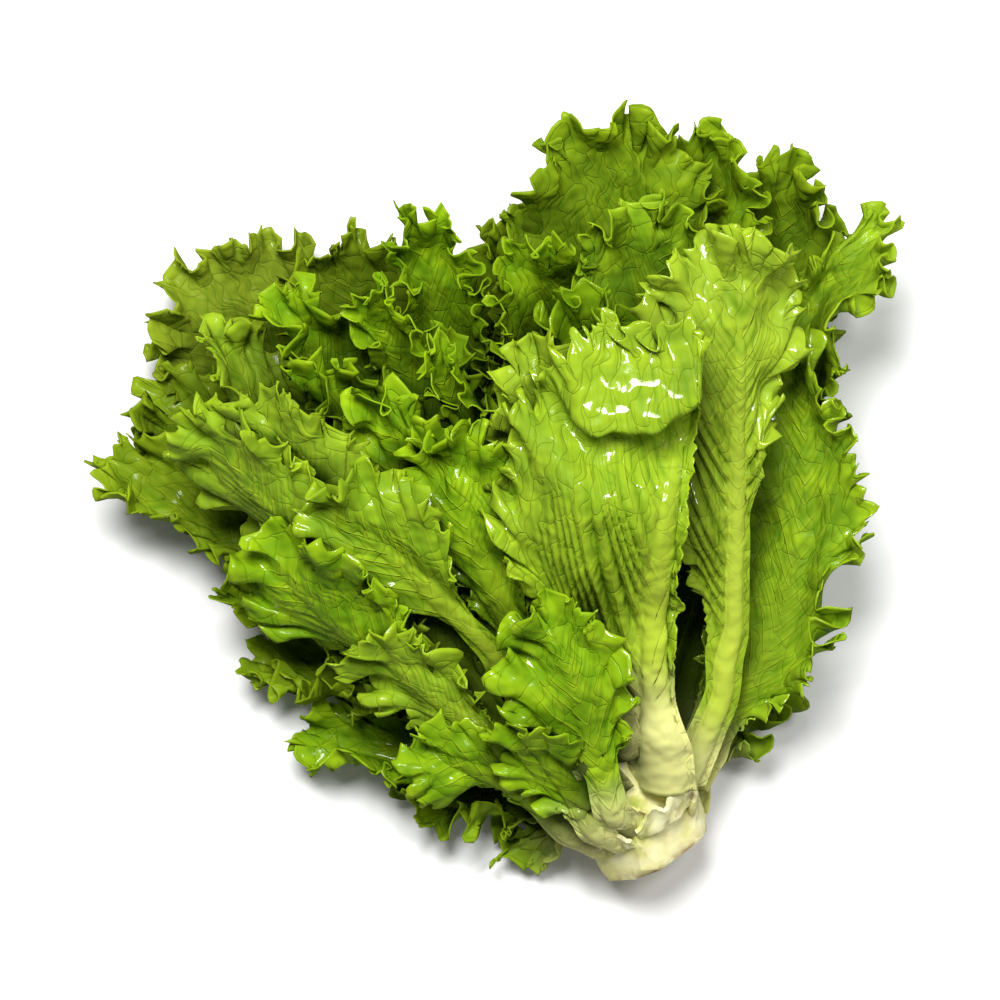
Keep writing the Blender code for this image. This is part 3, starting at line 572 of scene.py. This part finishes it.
def layOutFine(habit, length):
    # the finished leaf laid flat, with rows of points close together near its margin: out, along, share of
    # the way to the margin, run, opening, share of the way to the rib's edge, depth in from the margin, and
    # the directions outwards and onwards in the flat
    looks = habit["looks"]
    depths, bladeRows, ribRows = np.array(ruffles["rowDepths"]), looks["rows"], ruffles["ribRows"]
    widths, left = looks["shown"], {**habit, **looks["outline"]}
    sideHabits = left, {**left, **looks["rightOutline"]}
    longest = max(margin(left, length, halfWidth, 8)[2][-1] for halfWidth in widths)
    columns = max(12, int(longest / ruffles["marginStep"] * looks["detail"]))
    outlines = [margin(own, length, halfWidth, columns) for own, halfWidth in zip(sideHabits, widths)]
    feet = [veinFoot(b, a, length) for b, a, *_ in outlines]
    middle = 0.5 * (feet[0] + feet[1])
    table, faces, first = [], [], 0
    for side, own, halfWidth in zip((-1, 1), sideHabits, widths):
        rows = []
        for level in range(len(depths) + bladeRows + ribRows):
            factor = 4 if level < 3 else 2 if level < len(depths) else 1
            b, a, run, opening = margin(own, length, halfWidth, factor * columns)
            foot = veinFoot(b, a, length)
            most = 0.6 if halfWidth > 5 else 0.93  # a side with no blade is rib nearly to its edge
            up = foot / length
            edge = np.minimum(looks["ribWide"] * (ribHalfWidth(up) + 1.5 * (1 - up)), most * a)
            column = np.hypot(a - edge, b - foot)
            squeeze = np.minimum(1, column / 24)
            if level < len(depths):
                depth = depths[level] * squeeze
            else:
                way = (level - len(depths) + 1) / bladeRows
                inner = depths[-1] * squeeze
                depth = np.minimum(inner + (column - inner) * way, column)
            share = 1 - depth / np.maximum(column, 1e-6)
            ribShare = 1 - max(0, level - len(depths) - bladeRows + 1) / ribRows
            out, along = edge + share * (a - edge), foot + share * (b - foot)
            if ribShare < 1:
                out, along = edge * ribShare, middle + (foot - middle) * ribShare
            flatRun = unit(np.gradient(np.stack((a, b), axis=1), axis=0))
            out = out * (1 + looks["baseWide"] * smoothStep((42 - along) / 26))
            row = np.column_stack((
                side * out, along, share, side * (run[-1] - run), opening,
                np.full(len(b), ribShare), depth, side * flatRun[:, 1], -flatRun[:, 0],
                side * flatRun[:, 0], flatRun[:, 1],
            ))
            rows.append(first + np.arange(len(row)))
            table.append(row)
            first += len(row)
        for outer, inner in zip(rows, rows[1:]):
            if len(outer) == len(inner):
                found = np.column_stack((outer[:-1], outer[1:], inner[1:], inner[:-1]))
            else:
                p, q, r = outer[:-2:2], outer[1::2], outer[2::2]
                found = np.vstack((
                    np.column_stack((p, q, inner[:-1], inner[:-1])),
                    np.column_stack((q, inner[1:], inner[:-1], inner[:-1])),
                    np.column_stack((q, r, inner[1:], inner[1:])),
                ))
            faces.append(found if side > 0 else found[:, ::-1])
    table, faces = np.vstack(table), np.vstack(faces)
    # the two sides meet along the rib, and the rows meet at the tip
    _, kept, same = np.unique(np.round(table[:, :2], 4), axis=0, return_index=True, return_inverse=True)
    faces = same.reshape(-1)[faces]
    distinct = np.array([len(set(f)) for f in faces])
    return table[kept], faces[distinct >= 3]


def ruffle(habit, flat, seed):
    # how far each point moves off the smooth leaf: along its normal, outwards and along the margin
    run, opening, depth = flat[:, 3], flat[:, 4], flat[:, 6]
    opened = smoothStep(1.6 * opening)
    curl, crimp, lobe, tooth = (ruffles[key] for key in ("curl", "crimp", "lobe", "tooth"))
    size = np.where(flat[:, 0] > 0, habit["looks"]["rightFrill"], 1.0)

    def turn(kind, own):
        return 2 * math.pi * run / kind["length"] + kind["drift"] * wander(run, kind["driftRun"], own)

    def near(kind):
        return opened * np.clip(1 - depth / kind["reach"], 0, 1) ** kind["fade"]

    def height(kind, own):
        return size * kind["height"] * (1 + kind["vary"] * wander(run, kind["varyRun"], own)) * near(kind)

    curlTurn, crimpTurn, lobeTurn = turn(curl, seed), turn(crimp, seed + 11), turn(lobe, seed + 47)
    curlHeight, crimpHeight = height(curl, seed + 23), height(crimp, seed + 31)
    lift = curlHeight * np.sin(curlTurn) + crimpHeight * np.sin(crimpTurn)
    slide = -0.45 * curlHeight * np.sin(2 * curlTurn) - 0.4 * crimpHeight * np.sin(2 * crimpTurn)
    reach = size * lobe["depth"] * near(lobe) * (np.abs(np.sin(0.5 * lobeTurn)) * 2 - 1.3)
    pitch = run / tooth["length"] + tooth["drift"] * wander(run, tooth["driftRun"], seed + 59)
    which, within = np.floor(pitch), pitch % 1.0
    tall = 0.45 + 0.9 * (np.sin(which * 12.9898 + seed * 78.233) * 43758.5453 % 1.0)
    toothReach = opened**0.5 * np.clip(1 - depth / tooth["reach"], 0, 1)
    reach += size * tooth["depth"] * tall * toothReach * (1 - np.abs(2 * within - 1.1).clip(0, 1)) ** 1.2
    reach -= 0.25 * curlHeight * np.abs(np.sin(curlTurn))
    return lift, reach, slide


def veinTurn(habit, flat):
    # counts the side veins up the rib: whole numbers lie on a vein, halves midway between two
    out, along = np.abs(flat[:, 0]), flat[:, 1]
    looks = habit["looks"]
    foot = along - looks["slant"] * out ** looks["bend"]
    wavering = 0.3 * np.sin(foot / 11.0) + 0.25 * np.sin(out / 9.0 + foot / 6.0)
    return foot / looks["pitch"] + wavering


def pleat(habit, flat):
    # side veins stand up on the back of the blade and pull it into pleats beside the rib
    share, opening, looks = flat[:, 2], flat[:, 4], habit["looks"]
    near = smoothStep(share / 0.08) * smoothStep((0.85 - share) / 0.65) * smoothStep(2 * opening)
    upLeaf = flat[:, 1] / flat[:, 1].max()
    near *= smoothStep((looks["pleatEnd"] - upLeaf) / 0.2)
    return looks["pleats"] * near * (np.abs(np.cos(math.pi * veinTurn(habit, flat))) ** 0.7 - 0.6)


def blister(flat, seed):
    # slow bulges of the blade between its veins
    size, share = ruffles["swell"]["size"], flat[:, 2]
    bulges = np.array([noise.noise(Vector((x / size, y / size, 3.7 * seed))) for x, y in flat[:, :2]])
    return 2 * ruffles["swell"]["height"] * bulges * smoothStep(share / 0.4) * smoothStep(2 * flat[:, 4])


def foldTop(points):
    # the blade rises to a rounded rim that hangs over what is below it
    rim, shifts, x = np.array(topFold["rim"]), topFold["rounding"], points[:, 0]
    left, right = topFold["left"], topFold["right"]
    rise, dip, overhang = topFold["rise"], topFold["dip"], topFold["overhang"]
    line = sum(np.interp(x + shift, rim[:, 0], rim[:, 1]) for shift in shifts) / len(shifts)
    beyond = points[:, 1] - line
    for height, wide in topFold["waver"]:
        beyond = beyond + height * np.sin(x / wide)
    across = smoothStep((x - left["end"]) / left["fade"]) * smoothStep((right["end"] - x) / right["fade"])
    risen = smoothStep((beyond + 2) / rise["over"])
    risen *= 1 - rise["sinks"] * smoothStep((beyond - 6) / rise["sinksOver"])
    dipped = np.exp(-(((beyond - dip["at"]) / dip["width"]) ** 2)) * smoothStep((right["end"] - 4 - x) / 12)
    hanging = np.exp(-(((beyond - overhang["at"]) / overhang["width"]) ** 2))
    points[:, 2] += across * (rise["height"] * risen - dip["depth"] * dipped)
    points[:, 1] -= overhang["reach"] * across * hanging


def makeFineLeaf(one, number):
    habit, spine, coarse = one["habit"], one["spine"], one["flat"]
    looks = habit["looks"]
    flat, faces = layOutFine(habit, spine["length"])
    lifted = smoothField(coarse[:, :2], one["points"] - one["bent"])

    def place(at):
        return bendOntoSpine(habit, at, spine) + lifted(at)

    at, step = flat[:, :2], 0.4
    points = place(at)
    acrossLeaf = (place(at + (step, 0)) - place(at - (step, 0))) / (2 * step)
    alongLeaf = (place(at + (0, step)) - place(at - (0, step))) / (2 * step)
    normals = unit(np.cross(acrossLeaf, alongLeaf))
    outward = unit(acrossLeaf * flat[:, 7:8] + alongLeaf * flat[:, 8:9])
    onward = unit(acrossLeaf * flat[:, 9:10] + alongLeaf * flat[:, 10:11])
    lift, reach, slide = ruffle(habit, flat, number + 1)
    lift += blister(flat, number + 1)
    turnedUp = looks["flare"] * flat[:, 2] ** 3 * smoothStep(2 * flat[:, 4])
    lift += np.sign(normals[:, 2]) * turnedUp
    # the ruffles use the room that the neighbouring leaves leave on either side
    apart = ((flat[:, None, :2] - coarse[None, :, :2]) ** 2).sum(axis=2)
    weight = np.exp(-apart / ruffles["roomSpread"]) + 1e-12
    weight /= weight.sum(axis=1, keepdims=True)
    least = ruffles["leastRoom"]
    room = np.maximum(
        weight @ one["room"], least["inside"] + least["margin"] * np.exp(-flat[:, 6:7] / least["reach"])
    )
    above, below = room[:, 0], room[:, 1]
    lift = np.where(lift > 0, above * np.tanh(lift / above), -below * np.tanh(-lift / below))
    lift += np.sign(normals[:, 2]) * pleat(habit, flat)
    points = points + normals * lift[:, None] + outward * reach[:, None] + onward * slide[:, None]
    if looks["folded"]:
        foldTop(points)
    pressed = ruffles["pressed"]
    beyond = np.maximum(points[:, 2] - pressed["above"], 0)
    points[:, 2] -= beyond - pressed["into"] * np.tanh(beyond / pressed["into"])
    ribWeight = np.where(flat[:, 5] < 1, np.sqrt(np.clip(1 - flat[:, 5] ** 2, 0, 1)), 0)
    ribWeight = ribWeight * np.clip(1 - flat[:, 1] / spine["length"] / sheet["ribEnd"], 0, 1) ** 0.8
    blade = ruffles["bladeThickness"]
    half = 0.5 * (blade + (looks["ribThickness"] - blade) * ribWeight)
    points[:, 2] = np.maximum(points[:, 2], half)
    return points, faces, half, flat, weight @ one["open"]


def borderLoop(faces):
    edges = set()
    for face in faces:
        corners = list(dict.fromkeys(face.tolist()))
        edges.update(zip(corners, corners[1:] + corners[:1]))
    after = {a: b for a, b in edges if (b, a) not in edges}
    loop = [next(iter(after))]
    while after[loop[-1]] != loop[0] and len(loop) < len(after):
        loop.append(after[loop[-1]])
    return loop


# the painted shade between the leaves, a near-black mixed into the colour where little sky is open: how
# dark it gets, how much open sky leaves none, how much less at the margin
shade = {"strength": 1.8, "openSky": 0.90, "lessAtMargin": 0.35}


def buildLeaf(one, number, material):
    points, faces, half, flat, sky = makeFineLeaf(one, number)
    name, length, count = one["habit"]["name"], one["spine"]["length"], len(points)
    normals = sheetNormals(points, faces)
    skins = np.vstack((points + normals * half[:, None], points - normals * half[:, None]))
    skins[:, 2] = np.maximum(skins[:, 2], 0.0)
    polygons = [list(dict.fromkeys(f)) for f in faces.tolist()]
    polygons += [[v + count for v in reversed(f)] for f in polygons]
    loop = borderLoop(faces)
    polygons += [[b, a, a + count, b + count] for a, b in zip(loop, loop[1:] + loop[:1])]
    mesh = bpy.data.meshes.new(name + "_leaf")
    mesh.from_pydata(((skins + planShift) * mm).tolist(), [], polygons)
    mesh.update()
    # where the paint goes: the leaf laid flat, how much of each point is rib or margin, and how much
    # painted shade it gets
    spots = np.vstack((flat[:, :2], flat[:, :2])) / 100.0
    corners = np.zeros(len(mesh.loops), int)
    mesh.loops.foreach_get("vertex_index", corners)
    mesh.uv_layers.new(name="flatLeaf").data.foreach_set("uv", spots[corners].ravel())
    looks = one["habit"]["looks"]
    ribness = np.where(flat[:, 5] < 1, 1 - 0.25 * flat[:, 5] ** 2, np.exp(-flat[:, 2] / 0.06) * 0.75)
    ribness *= looks["rib"] * smoothStep((0.95 - flat[:, 1] / length) / 0.7)
    rootness = smoothStep((looks["rooted"] - flat[:, 1]) / 26.0)
    # painted shade: darker where the neighbouring leaves hide the sky, less towards the margin
    hidden = np.clip(shade["strength"] * (shade["openSky"] - sky), 0, 1)
    hidden *= 1 - shade["lessAtMargin"] * flat[:, 2] ** 3
    rimness = np.exp(-flat[:, 6] / 1.4) * smoothStep(2 * flat[:, 4])
    for label, values in (
        ("ribness", ribness), ("rootness", rootness), ("rimness", rimness), ("hidden", hidden),
        ("veinTurn", veinTurn(one["habit"], flat)), ("outness", flat[:, 2]),
        *((label, np.full(count, looks[label])) for label in ("age", "pale", "wet")),
    ):
        attribute = mesh.attributes.new(label, "FLOAT", "POINT")
        attribute.data.foreach_set("value", np.concatenate((values, values)).astype(np.float32))
    mesh.materials.append(material)
    piece = bpy.data.objects.new(name + "_leaf", mesh)
    bpy.context.scene.collection.objects.link(piece)
    for polygon in mesh.polygons:
        polygon.use_smooth = True
    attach(piece, "root")
    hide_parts(name)
    return piece


def node(tree, kind, inputs, **settings):
    made = tree.nodes.new(kind)
    for key, value in settings.items():
        setattr(made, key, value)
    for key, value in inputs.items():
        if isinstance(value, bpy.types.NodeSocket):
            tree.links.new(value, made.inputs[key])
        else:
            made.inputs[key].default_value = value
    return made


def guides(tree, *labels):
    return [node(tree, "ShaderNodeAttribute", {}, attribute_name=label).outputs["Fac"] for label in labels]


def mixColour(tree, factor, first, second):
    return node(tree, "ShaderNodeMix", {0: factor, 6: first, 7: second}, data_type="RGBA").outputs[2]


def sums(tree, operation, first, second=0.0, clamp=False):
    made = node(tree, "ShaderNodeMath", {0: first, 1: second}, operation=operation, use_clamp=clamp)
    return made.outputs[0]


def moved(tree, operation, first, inputs):
    return node(tree, "ShaderNodeVectorMath", {0: first, **inputs}, operation=operation).outputs[0]


def spread(tree, value, low, high):
    made = node(tree, "ShaderNodeMapRange", {"Value": value, "From Min": low, "From Max": high})
    return made.outputs[0]


def clouds(tree, place, scale, detail):
    return node(tree, "ShaderNodeTexNoise", {"Vector": place, "Scale": scale, "Detail": detail}).outputs[0]


leafPaint = {
    "green": (0.175, 0.330, 0.006, 1),
    "deep": (0.085, 0.200, 0.004, 1),
    "bright": (0.270, 0.440, 0.008, 1),
    "pale": (0.400, 0.500, 0.045, 1),
    "olive": (0.165, 0.205, 0.012, 1),
    "rim": (0.360, 0.500, 0.010, 1),
    "rib": (0.380, 0.520, 0.018, 1),
    "paleRib": (0.580, 0.650, 0.110, 1),
    "root": (0.740, 0.740, 0.260, 1),
    "vein": (0.060, 0.130, 0.004, 1),
    "sideVein": (0.330, 0.450, 0.015, 1),
    # painted shade, for where other leaves hide the sky
    "hidden": (0.010, 0.028, 0.001, 1),
}


def leafMaterial():
    material = bpy.data.materials.new("lettuceLeaf")
    material.use_nodes = True
    tree = material.node_tree
    shader = tree.nodes["Principled BSDF"]
    place = node(tree, "ShaderNodeTexCoord", {}).outputs["Object"]
    flat = node(tree, "ShaderNodeUVMap", {}, uv_map="flatLeaf").outputs[0]
    ribness, rootness, rimness, hidden = guides(tree, "ribness", "rootness", "rimness", "hidden")
    veinCount, outness, age, pale, wet = guides(tree, "veinTurn", "outness", "age", "pale", "wet")
    patches, mottle = clouds(tree, place, 24.0, 2.0), clouds(tree, place, 120.0, 1.0)
    # fine veins: a net whose meshes are pulled out of shape
    pull = node(
        tree, "ShaderNodeTexNoise", {"Vector": flat, "Scale": 14.0, "Detail": 0.0}, noise_dimensions="2D",
    ).outputs[1]
    pulled = moved(tree, "ADD", flat, {1: moved(tree, "SCALE", pull, {"Scale": 0.07})})
    pulled = moved(tree, "MULTIPLY", pulled, {1: (1.5, 0.6, 1.0)})
    net = node(
        tree, "ShaderNodeTexVoronoi", {"Vector": pulled, "Scale": 15.5},
        voronoi_dimensions="2D", feature="DISTANCE_TO_EDGE",
    ).outputs[0]
    # side veins: one at each whole count, fading towards the margin
    fromVein = sums(tree, "ABSOLUTE", sums(tree, "SUBTRACT", sums(tree, "FRACT", veinCount), 0.5))
    blade = sums(tree, "SUBTRACT", 1.0, ribness)
    netLine = sums(tree, "MULTIPLY", spread(tree, net, 0.040, 0.0), blade)
    inward = sums(tree, "MULTIPLY", spread(tree, outness, 0.85, 0.15), blade)
    sideVein = sums(tree, "MULTIPLY", spread(tree, fromVein, 0.42, 0.5), inward)
    # painted shade: darker green in the furrows midway between side veins, standing in for the shaded
    # valleys of the pleats
    furrowShade = sums(tree, "MULTIPLY", spread(tree, fromVein, 0.24, 0.0), inward)
    colour = mixColour(tree, spread(tree, patches, 0.35, 0.65), leafPaint["deep"], leafPaint["green"])
    for much, paint in (
        (spread(tree, mottle, 0.38, 0.72), leafPaint["bright"]),
        (age, leafPaint["olive"]),
        (pale, leafPaint["pale"]),
        # painted shade in the furrows between side veins
        (sums(tree, "MULTIPLY", furrowShade, 0.65), leafPaint["deep"]),
        (sums(tree, "MULTIPLY", sideVein, 0.6), leafPaint["sideVein"]),
        (sums(tree, "MULTIPLY", netLine, 0.15), leafPaint["vein"]),
        (sums(tree, "MULTIPLY", rimness, 0.3), leafPaint["rim"]),
        (ribness, mixColour(tree, pale, leafPaint["rib"], leafPaint["paleRib"])),
        (rootness, leafPaint["root"]),
        # painted shade: near-black mixed in where other leaves hide the sky
        (sums(tree, "MULTIPLY", hidden, 0.9), leafPaint["hidden"]),
    ):
        colour = mixColour(tree, much, colour, paint)
    tree.links.new(colour, shader.inputs["Base Color"])
    quilt = sums(tree, "MULTIPLY", spread(tree, net, 0.0, 0.30), blade)
    puckers = clouds(tree, place, 260.0, 0.0)
    relief = sums(tree, "MULTIPLY", mottle, 0.8)
    for form, much in ((netLine, -0.20), (sideVein, 0.35), (quilt, 0.25), (puckers, 0.9)):
        relief = sums(tree, "ADD", relief, sums(tree, "MULTIPLY", form, much))
    bump = node(tree, "ShaderNodeBump", {"Height": relief, "Strength": 0.75, "Distance": 0.0012})
    tree.links.new(bump.outputs[0], shader.inputs["Normal"])
    # water lies in patches, more of it on some leaves
    wetness = sums(tree, "MULTIPLY", spread(tree, mottle, 0.44, 0.54), wet)
    water = node(tree, "ShaderNodeBump", {"Height": mottle, "Strength": 0.7, "Distance": 0.004})
    tree.links.new(water.outputs[0], shader.inputs["Coat Normal"])
    dry = sums(tree, "MULTIPLY", wetness, 0.30)
    tree.links.new(sums(tree, "SUBTRACT", 0.46, dry), shader.inputs["Roughness"])
    tree.links.new(wetness, shader.inputs["Coat Weight"])
    shader.inputs["Coat Roughness"].default_value = 0.10
    shader.inputs["Specular IOR Level"].default_value = 0.04
    return material


def plainMaterial(name, colour, roughness):
    material = bpy.data.materials.new(name)
    material.use_nodes = True
    shader = material.node_tree.nodes["Principled BSDF"]
    shader.inputs["Base Color"].default_value = colour
    shader.inputs["Roughness"].default_value = roughness
    return material


stemCut = {
    "sides": 96,
    "rings": 44,
    "shed": 15,  # how high up lies the ring where leaves were shed
    # height of the lumps, how often they come round the stem, and their length up it
    "lumps": ((1.6, 1, 14), (0.5, 4, 30)),
    # each knife stroke: a point on its plane and the way it faces, z up the stem
    "strokes": (
        ((0, 0, 1.0), (0.10, -0.24, -0.97)),
        ((6.0, -16.0, 8), (0.36, -0.93, 0.04)),
        ((-13.5, -11.5, 8), (-0.80, -0.58, 0.12)),
        ((18.3, -3.0, 5), (0.93, -0.18, -0.32)),
        ((-6.0, -16.8, 3), (-0.25, -0.86, -0.45)),
    ),
    # torn leaf bases: middle angle, half the angle held, lowest and highest edge, how far it stands off
    "torn": (
        (-1.15, 0.62, 21, 36, 2.6),
        (-2.35, 0.45, 18, 31, 2.4),
        (-0.25, 0.50, 17, 33, 2.5),
        (-1.85, 0.35, 26, 40, 2.2),
        (-3.00, 0.40, 15, 27, 2.2),
    ),
}


def stemPlacement():
    axis = unit(crown["axis"])
    right = unit(np.cross(axis, (0, 0, 1)))
    matrix = Matrix.Identity(4)
    for k, column in enumerate((right, np.cross(axis, right), axis)):
        matrix.col[k][:3] = column
    matrix.translation = Vector(crown["foot"] + planShift)
    return Matrix.Scale(mm, 4) @ matrix


def shaped(thing, kind, **settings):
    modifier = thing.modifiers.new("shaped", kind)
    for key, value in settings.items():
        setattr(modifier, key, value)
    bpy.ops.object.modifier_apply(modifier=modifier.name)


def selectEdges(mesh, wanted):
    for edge in mesh.edges:
        edge.select = wanted(*(mesh.vertices[v].co for v in edge.vertices))


def carveStem():
    # the foot of the stem: a turned blank, trimmed with a few knife strokes
    length = crown["length"]
    bpy.ops.mesh.primitive_cylinder_add(
        vertices=stemCut["sides"], radius=20, depth=length, location=(0, 0, 0)
    )
    stem = bpy.context.object
    bpy.ops.object.mode_set(mode="EDIT")
    bpy.ops.mesh.select_mode(type="EDGE")
    bpy.ops.mesh.select_all(action="DESELECT")
    bpy.ops.object.mode_set(mode="OBJECT")
    selectEdges(stem.data, lambda a, b: abs(a.z - b.z) > 1)
    bpy.ops.object.mode_set(mode="EDIT")
    bpy.ops.mesh.subdivide(number_cuts=stemCut["rings"])
    bpy.ops.object.mode_set(mode="OBJECT")
    for vertex in stem.data.vertices:
        height = vertex.co.z + 0.5 * length
        angle = math.atan2(vertex.co.y, vertex.co.x)
        spot = Vector((math.cos(angle), math.sin(angle), 0)) * 1.6
        lumps = sum(
            tall * noise.noise(often * spot + Vector((0, 0, height / long)))
            for tall, often, long in stemCut["lumps"]
        )
        scar = 0.7 * math.exp(-(((height - stemCut["shed"] - 3 * math.sin(2 * angle)) / 1.6) ** 2))
        radius = float(stemRadius(height)) + lumps - scar
        vertex.co = Vector((math.cos(angle) * radius, math.sin(angle) * radius, height))
    bpy.ops.object.mode_set(mode="EDIT")
    for place, facing in stemCut["strokes"]:
        bpy.ops.mesh.select_all(action="SELECT")
        bpy.ops.mesh.bisect(plane_co=place, plane_no=facing, use_fill=True, clear_outer=True)
    bpy.ops.mesh.select_all(action="SELECT")
    bpy.ops.mesh.remove_doubles(threshold=0.05)
    bpy.ops.mesh.normals_make_consistent(inside=False)
    bpy.ops.object.mode_set(mode="OBJECT")
    shaped(stem, "BEVEL", width=0.5, segments=2, angle_limit=math.radians(22))
    return stem


def tearBase(middle, spreadAngle, low, high, standing, seed):
    # what is left on the stem of a leaf that was pulled off: a ragged strip, thick at its foot
    bpy.ops.mesh.primitive_grid_add(x_subdivisions=40, y_subdivisions=16, size=2)
    strip = bpy.context.object
    for vertex in strip.data.vertices:
        across, up = vertex.co.x, 0.5 + 0.5 * vertex.co.y
        ragged = 0.75 + 0.4 * noise.noise(Vector((3 * across, seed, 0)))
        ragged += 0.1 * noise.noise(Vector((11 * across, seed, 1)))
        height = low + (high - low) * up * ragged * (1 - 0.55 * abs(across) ** 3)
        angle = middle + spreadAngle * across
        out = float(stemRadius(height)) - 1.2 + standing * up**1.5
        out += 1.2 * noise.noise(Vector((3 * across, 2 * up, seed)))
        vertex.co = Vector((math.cos(angle) * out, math.sin(angle) * out, height))
    shaped(strip, "SOLIDIFY", thickness=1.4, offset=0)
    shaped(strip, "BEVEL", width=0.3, segments=2)
    return strip


stemPaint = {
    "cream": (0.860, 0.800, 0.320, 1),
    "white": (0.950, 0.920, 0.530, 1),
    "green": (0.480, 0.560, 0.120, 1),
    "brown": (0.230, 0.110, 0.030, 1),
}


def stemMaterial():
    material = bpy.data.materials.new("cutStem")
    material.use_nodes = True
    tree = material.node_tree
    shader = tree.nodes["Principled BSDF"]
    place = node(tree, "ShaderNodeTexCoord", {}).outputs["Object"]
    bruise, heightUp = guides(tree, "bruise", "heightUp")
    cloud, grain = clouds(tree, place, 90.0, 3.0), clouds(tree, place, 420.0, 4.0)
    speck = clouds(tree, place, 170.0, 5.0)
    colour = mixColour(tree, spread(tree, cloud, 0.40, 0.62), stemPaint["white"], stemPaint["cream"])
    greener = sums(tree, "MULTIPLY", spread(tree, cloud, 0.50, 0.70), spread(tree, heightUp, 0.0, 0.5))
    colour = mixColour(tree, sums(tree, "ADD", greener, 0.08), colour, stemPaint["green"])
    # browned where the knife's edge and the tears have dried
    dried = sums(tree, "MULTIPLY", bruise, spread(tree, speck, 0.35, 0.60), clamp=True)
    fleck = sums(tree, "MULTIPLY", spread(tree, speck, 0.66, 0.74), 0.6)
    colour = mixColour(tree, sums(tree, "MAXIMUM", dried, fleck), colour, stemPaint["brown"])
    tree.links.new(colour, shader.inputs["Base Color"])
    relief = sums(tree, "ADD", cloud, sums(tree, "MULTIPLY", grain, 0.4))
    bump = node(tree, "ShaderNodeBump", {"Height": relief, "Strength": 0.5, "Distance": 0.001})
    tree.links.new(bump.outputs[0], shader.inputs["Normal"])
    tree.links.new(spread(tree, grain, -0.4, 1.6), shader.inputs["Roughness"])
    shader.inputs["Specular IOR Level"].default_value = 0.2
    shader.inputs["Subsurface Weight"].default_value = 0.2
    shader.inputs["Subsurface Radius"].default_value = (1.0, 0.9, 0.4)
    shader.inputs["Subsurface Scale"].default_value = 0.002
    return material


def stemBruise(spot):
    # browned on the cut face, most along its rim, and in a ring where leaves were shed
    place, facing = stemCut["strokes"][0]
    fromFoot = abs((spot - Vector(place)).dot(Vector(facing).normalized()))
    towardRim = min((math.hypot(spot.x, spot.y) / 17) ** 4, 1)
    ring = math.exp(-(((spot.z - stemCut["shed"]) / 1.5) ** 2))
    return (0.25 + 0.75 * towardRim) * math.exp(-fromFoot / 1.7) + 0.5 * ring


def tearBruise(spot):
    return 0.5 if noise.noise(spot / 5) > 0.15 else 0.0


def makeStem():
    stem = carveStem()
    strips = [tearBase(*torn, seed=3.1 * k) for k, torn in enumerate(stemCut["torn"])]
    for thing, bruiseAt in ((stem, stemBruise), *((strip, tearBruise) for strip in strips)):
        for label, guideAt in (("bruise", bruiseAt), ("heightUp", lambda spot: spot.z / 40)):
            values = [guideAt(vertex.co) for vertex in thing.data.vertices]
            thing.data.attributes.new(label, "FLOAT", "POINT").data.foreach_set("value", values)
    bpy.ops.object.select_all(action="DESELECT")
    for thing in (stem, *strips):
        thing.select_set(True)
    bpy.context.view_layer.objects.active = stem
    bpy.ops.object.join()
    stem.name = "stem_cut"
    stem.data.transform(stemPlacement())
    stem.data.materials.append(stemMaterial())
    bpy.ops.object.shade_smooth_by_angle(angle=math.radians(35))
    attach(stem, "root")
    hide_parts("stem")
    bpy.ops.object.select_all(action="DESELECT")
    return stem


bpy.ops.object.select_all(action="DESELECT")
plainLeaves = [makePlainLeaf(habit, number) for number, habit in enumerate(leaves)]
layDown(plainLeaves)
waveMargins(plainLeaves)
print("leaves laid down")

leafFinish = leafMaterial()
pieces = [buildLeaf(one, number, leafFinish) for number, one in enumerate(plainLeaves)]
counts = [sum(len(polygon.vertices) - 2 for polygon in piece.data.polygons) for piece in pieces]
print("leaves built:", sum(counts), "triangles,", max(counts), "in the largest")

stemPiece = makeStem()
print("stem cut:", len(stemPiece.data.polygons), "faces")

studio = {
    "height": 1.4,
    "lens": 146.5,
    "floor": (0.93, 0.93, 0.92, 1),
    "key": dict(place=(-0.18, 0.56, 1.45), size=0.5, power=30.3),
    "glint": dict(place=(0.45, 0.32, 1.42), size=0.30, power=8.0),
    "fill": dict(place=(0.85, -0.45, 1.1), size=2.6, power=4.5),
    "sky": 0.06,
}


def makeStudio():
    bpy.ops.mesh.primitive_plane_add(size=6, location=(0, 0, 0))
    floor = bpy.context.object
    floor.name = "floor"
    floor.data.materials.append(plainMaterial("paleFloor", studio["floor"], 0.9))
    floor.visible_glossy = False
    for label in ("key", "glint", "fill"):
        lamp = studio[label]
        bpy.ops.object.light_add(type="AREA", location=lamp["place"])
        light = bpy.context.object
        light.name = label + "Light"
        light.data.size = lamp["size"]
        light.data.energy = lamp["power"]
        light.rotation_euler = Vector(lamp["place"]).to_track_quat("Z", "Y").to_euler()
        light.visible_glossy = label != "fill"
    world = bpy.data.worlds.new("studioSky")
    world.use_nodes = True
    background = world.node_tree.nodes["Background"]
    background.inputs[0].default_value = (1, 1, 1, 1)
    background.inputs[1].default_value = studio["sky"]
    bpy.context.scene.world = world
    bpy.ops.object.camera_add(location=(planShift[0] * mm, planShift[1] * mm, studio["height"]))
    camera = bpy.context.object
    camera.name = "photoCamera"
    camera.data.lens = studio["lens"]
    bpy.context.scene.camera = camera
    bpy.context.scene.view_settings.view_transform = "Standard"


makeStudio()
print("studio set")
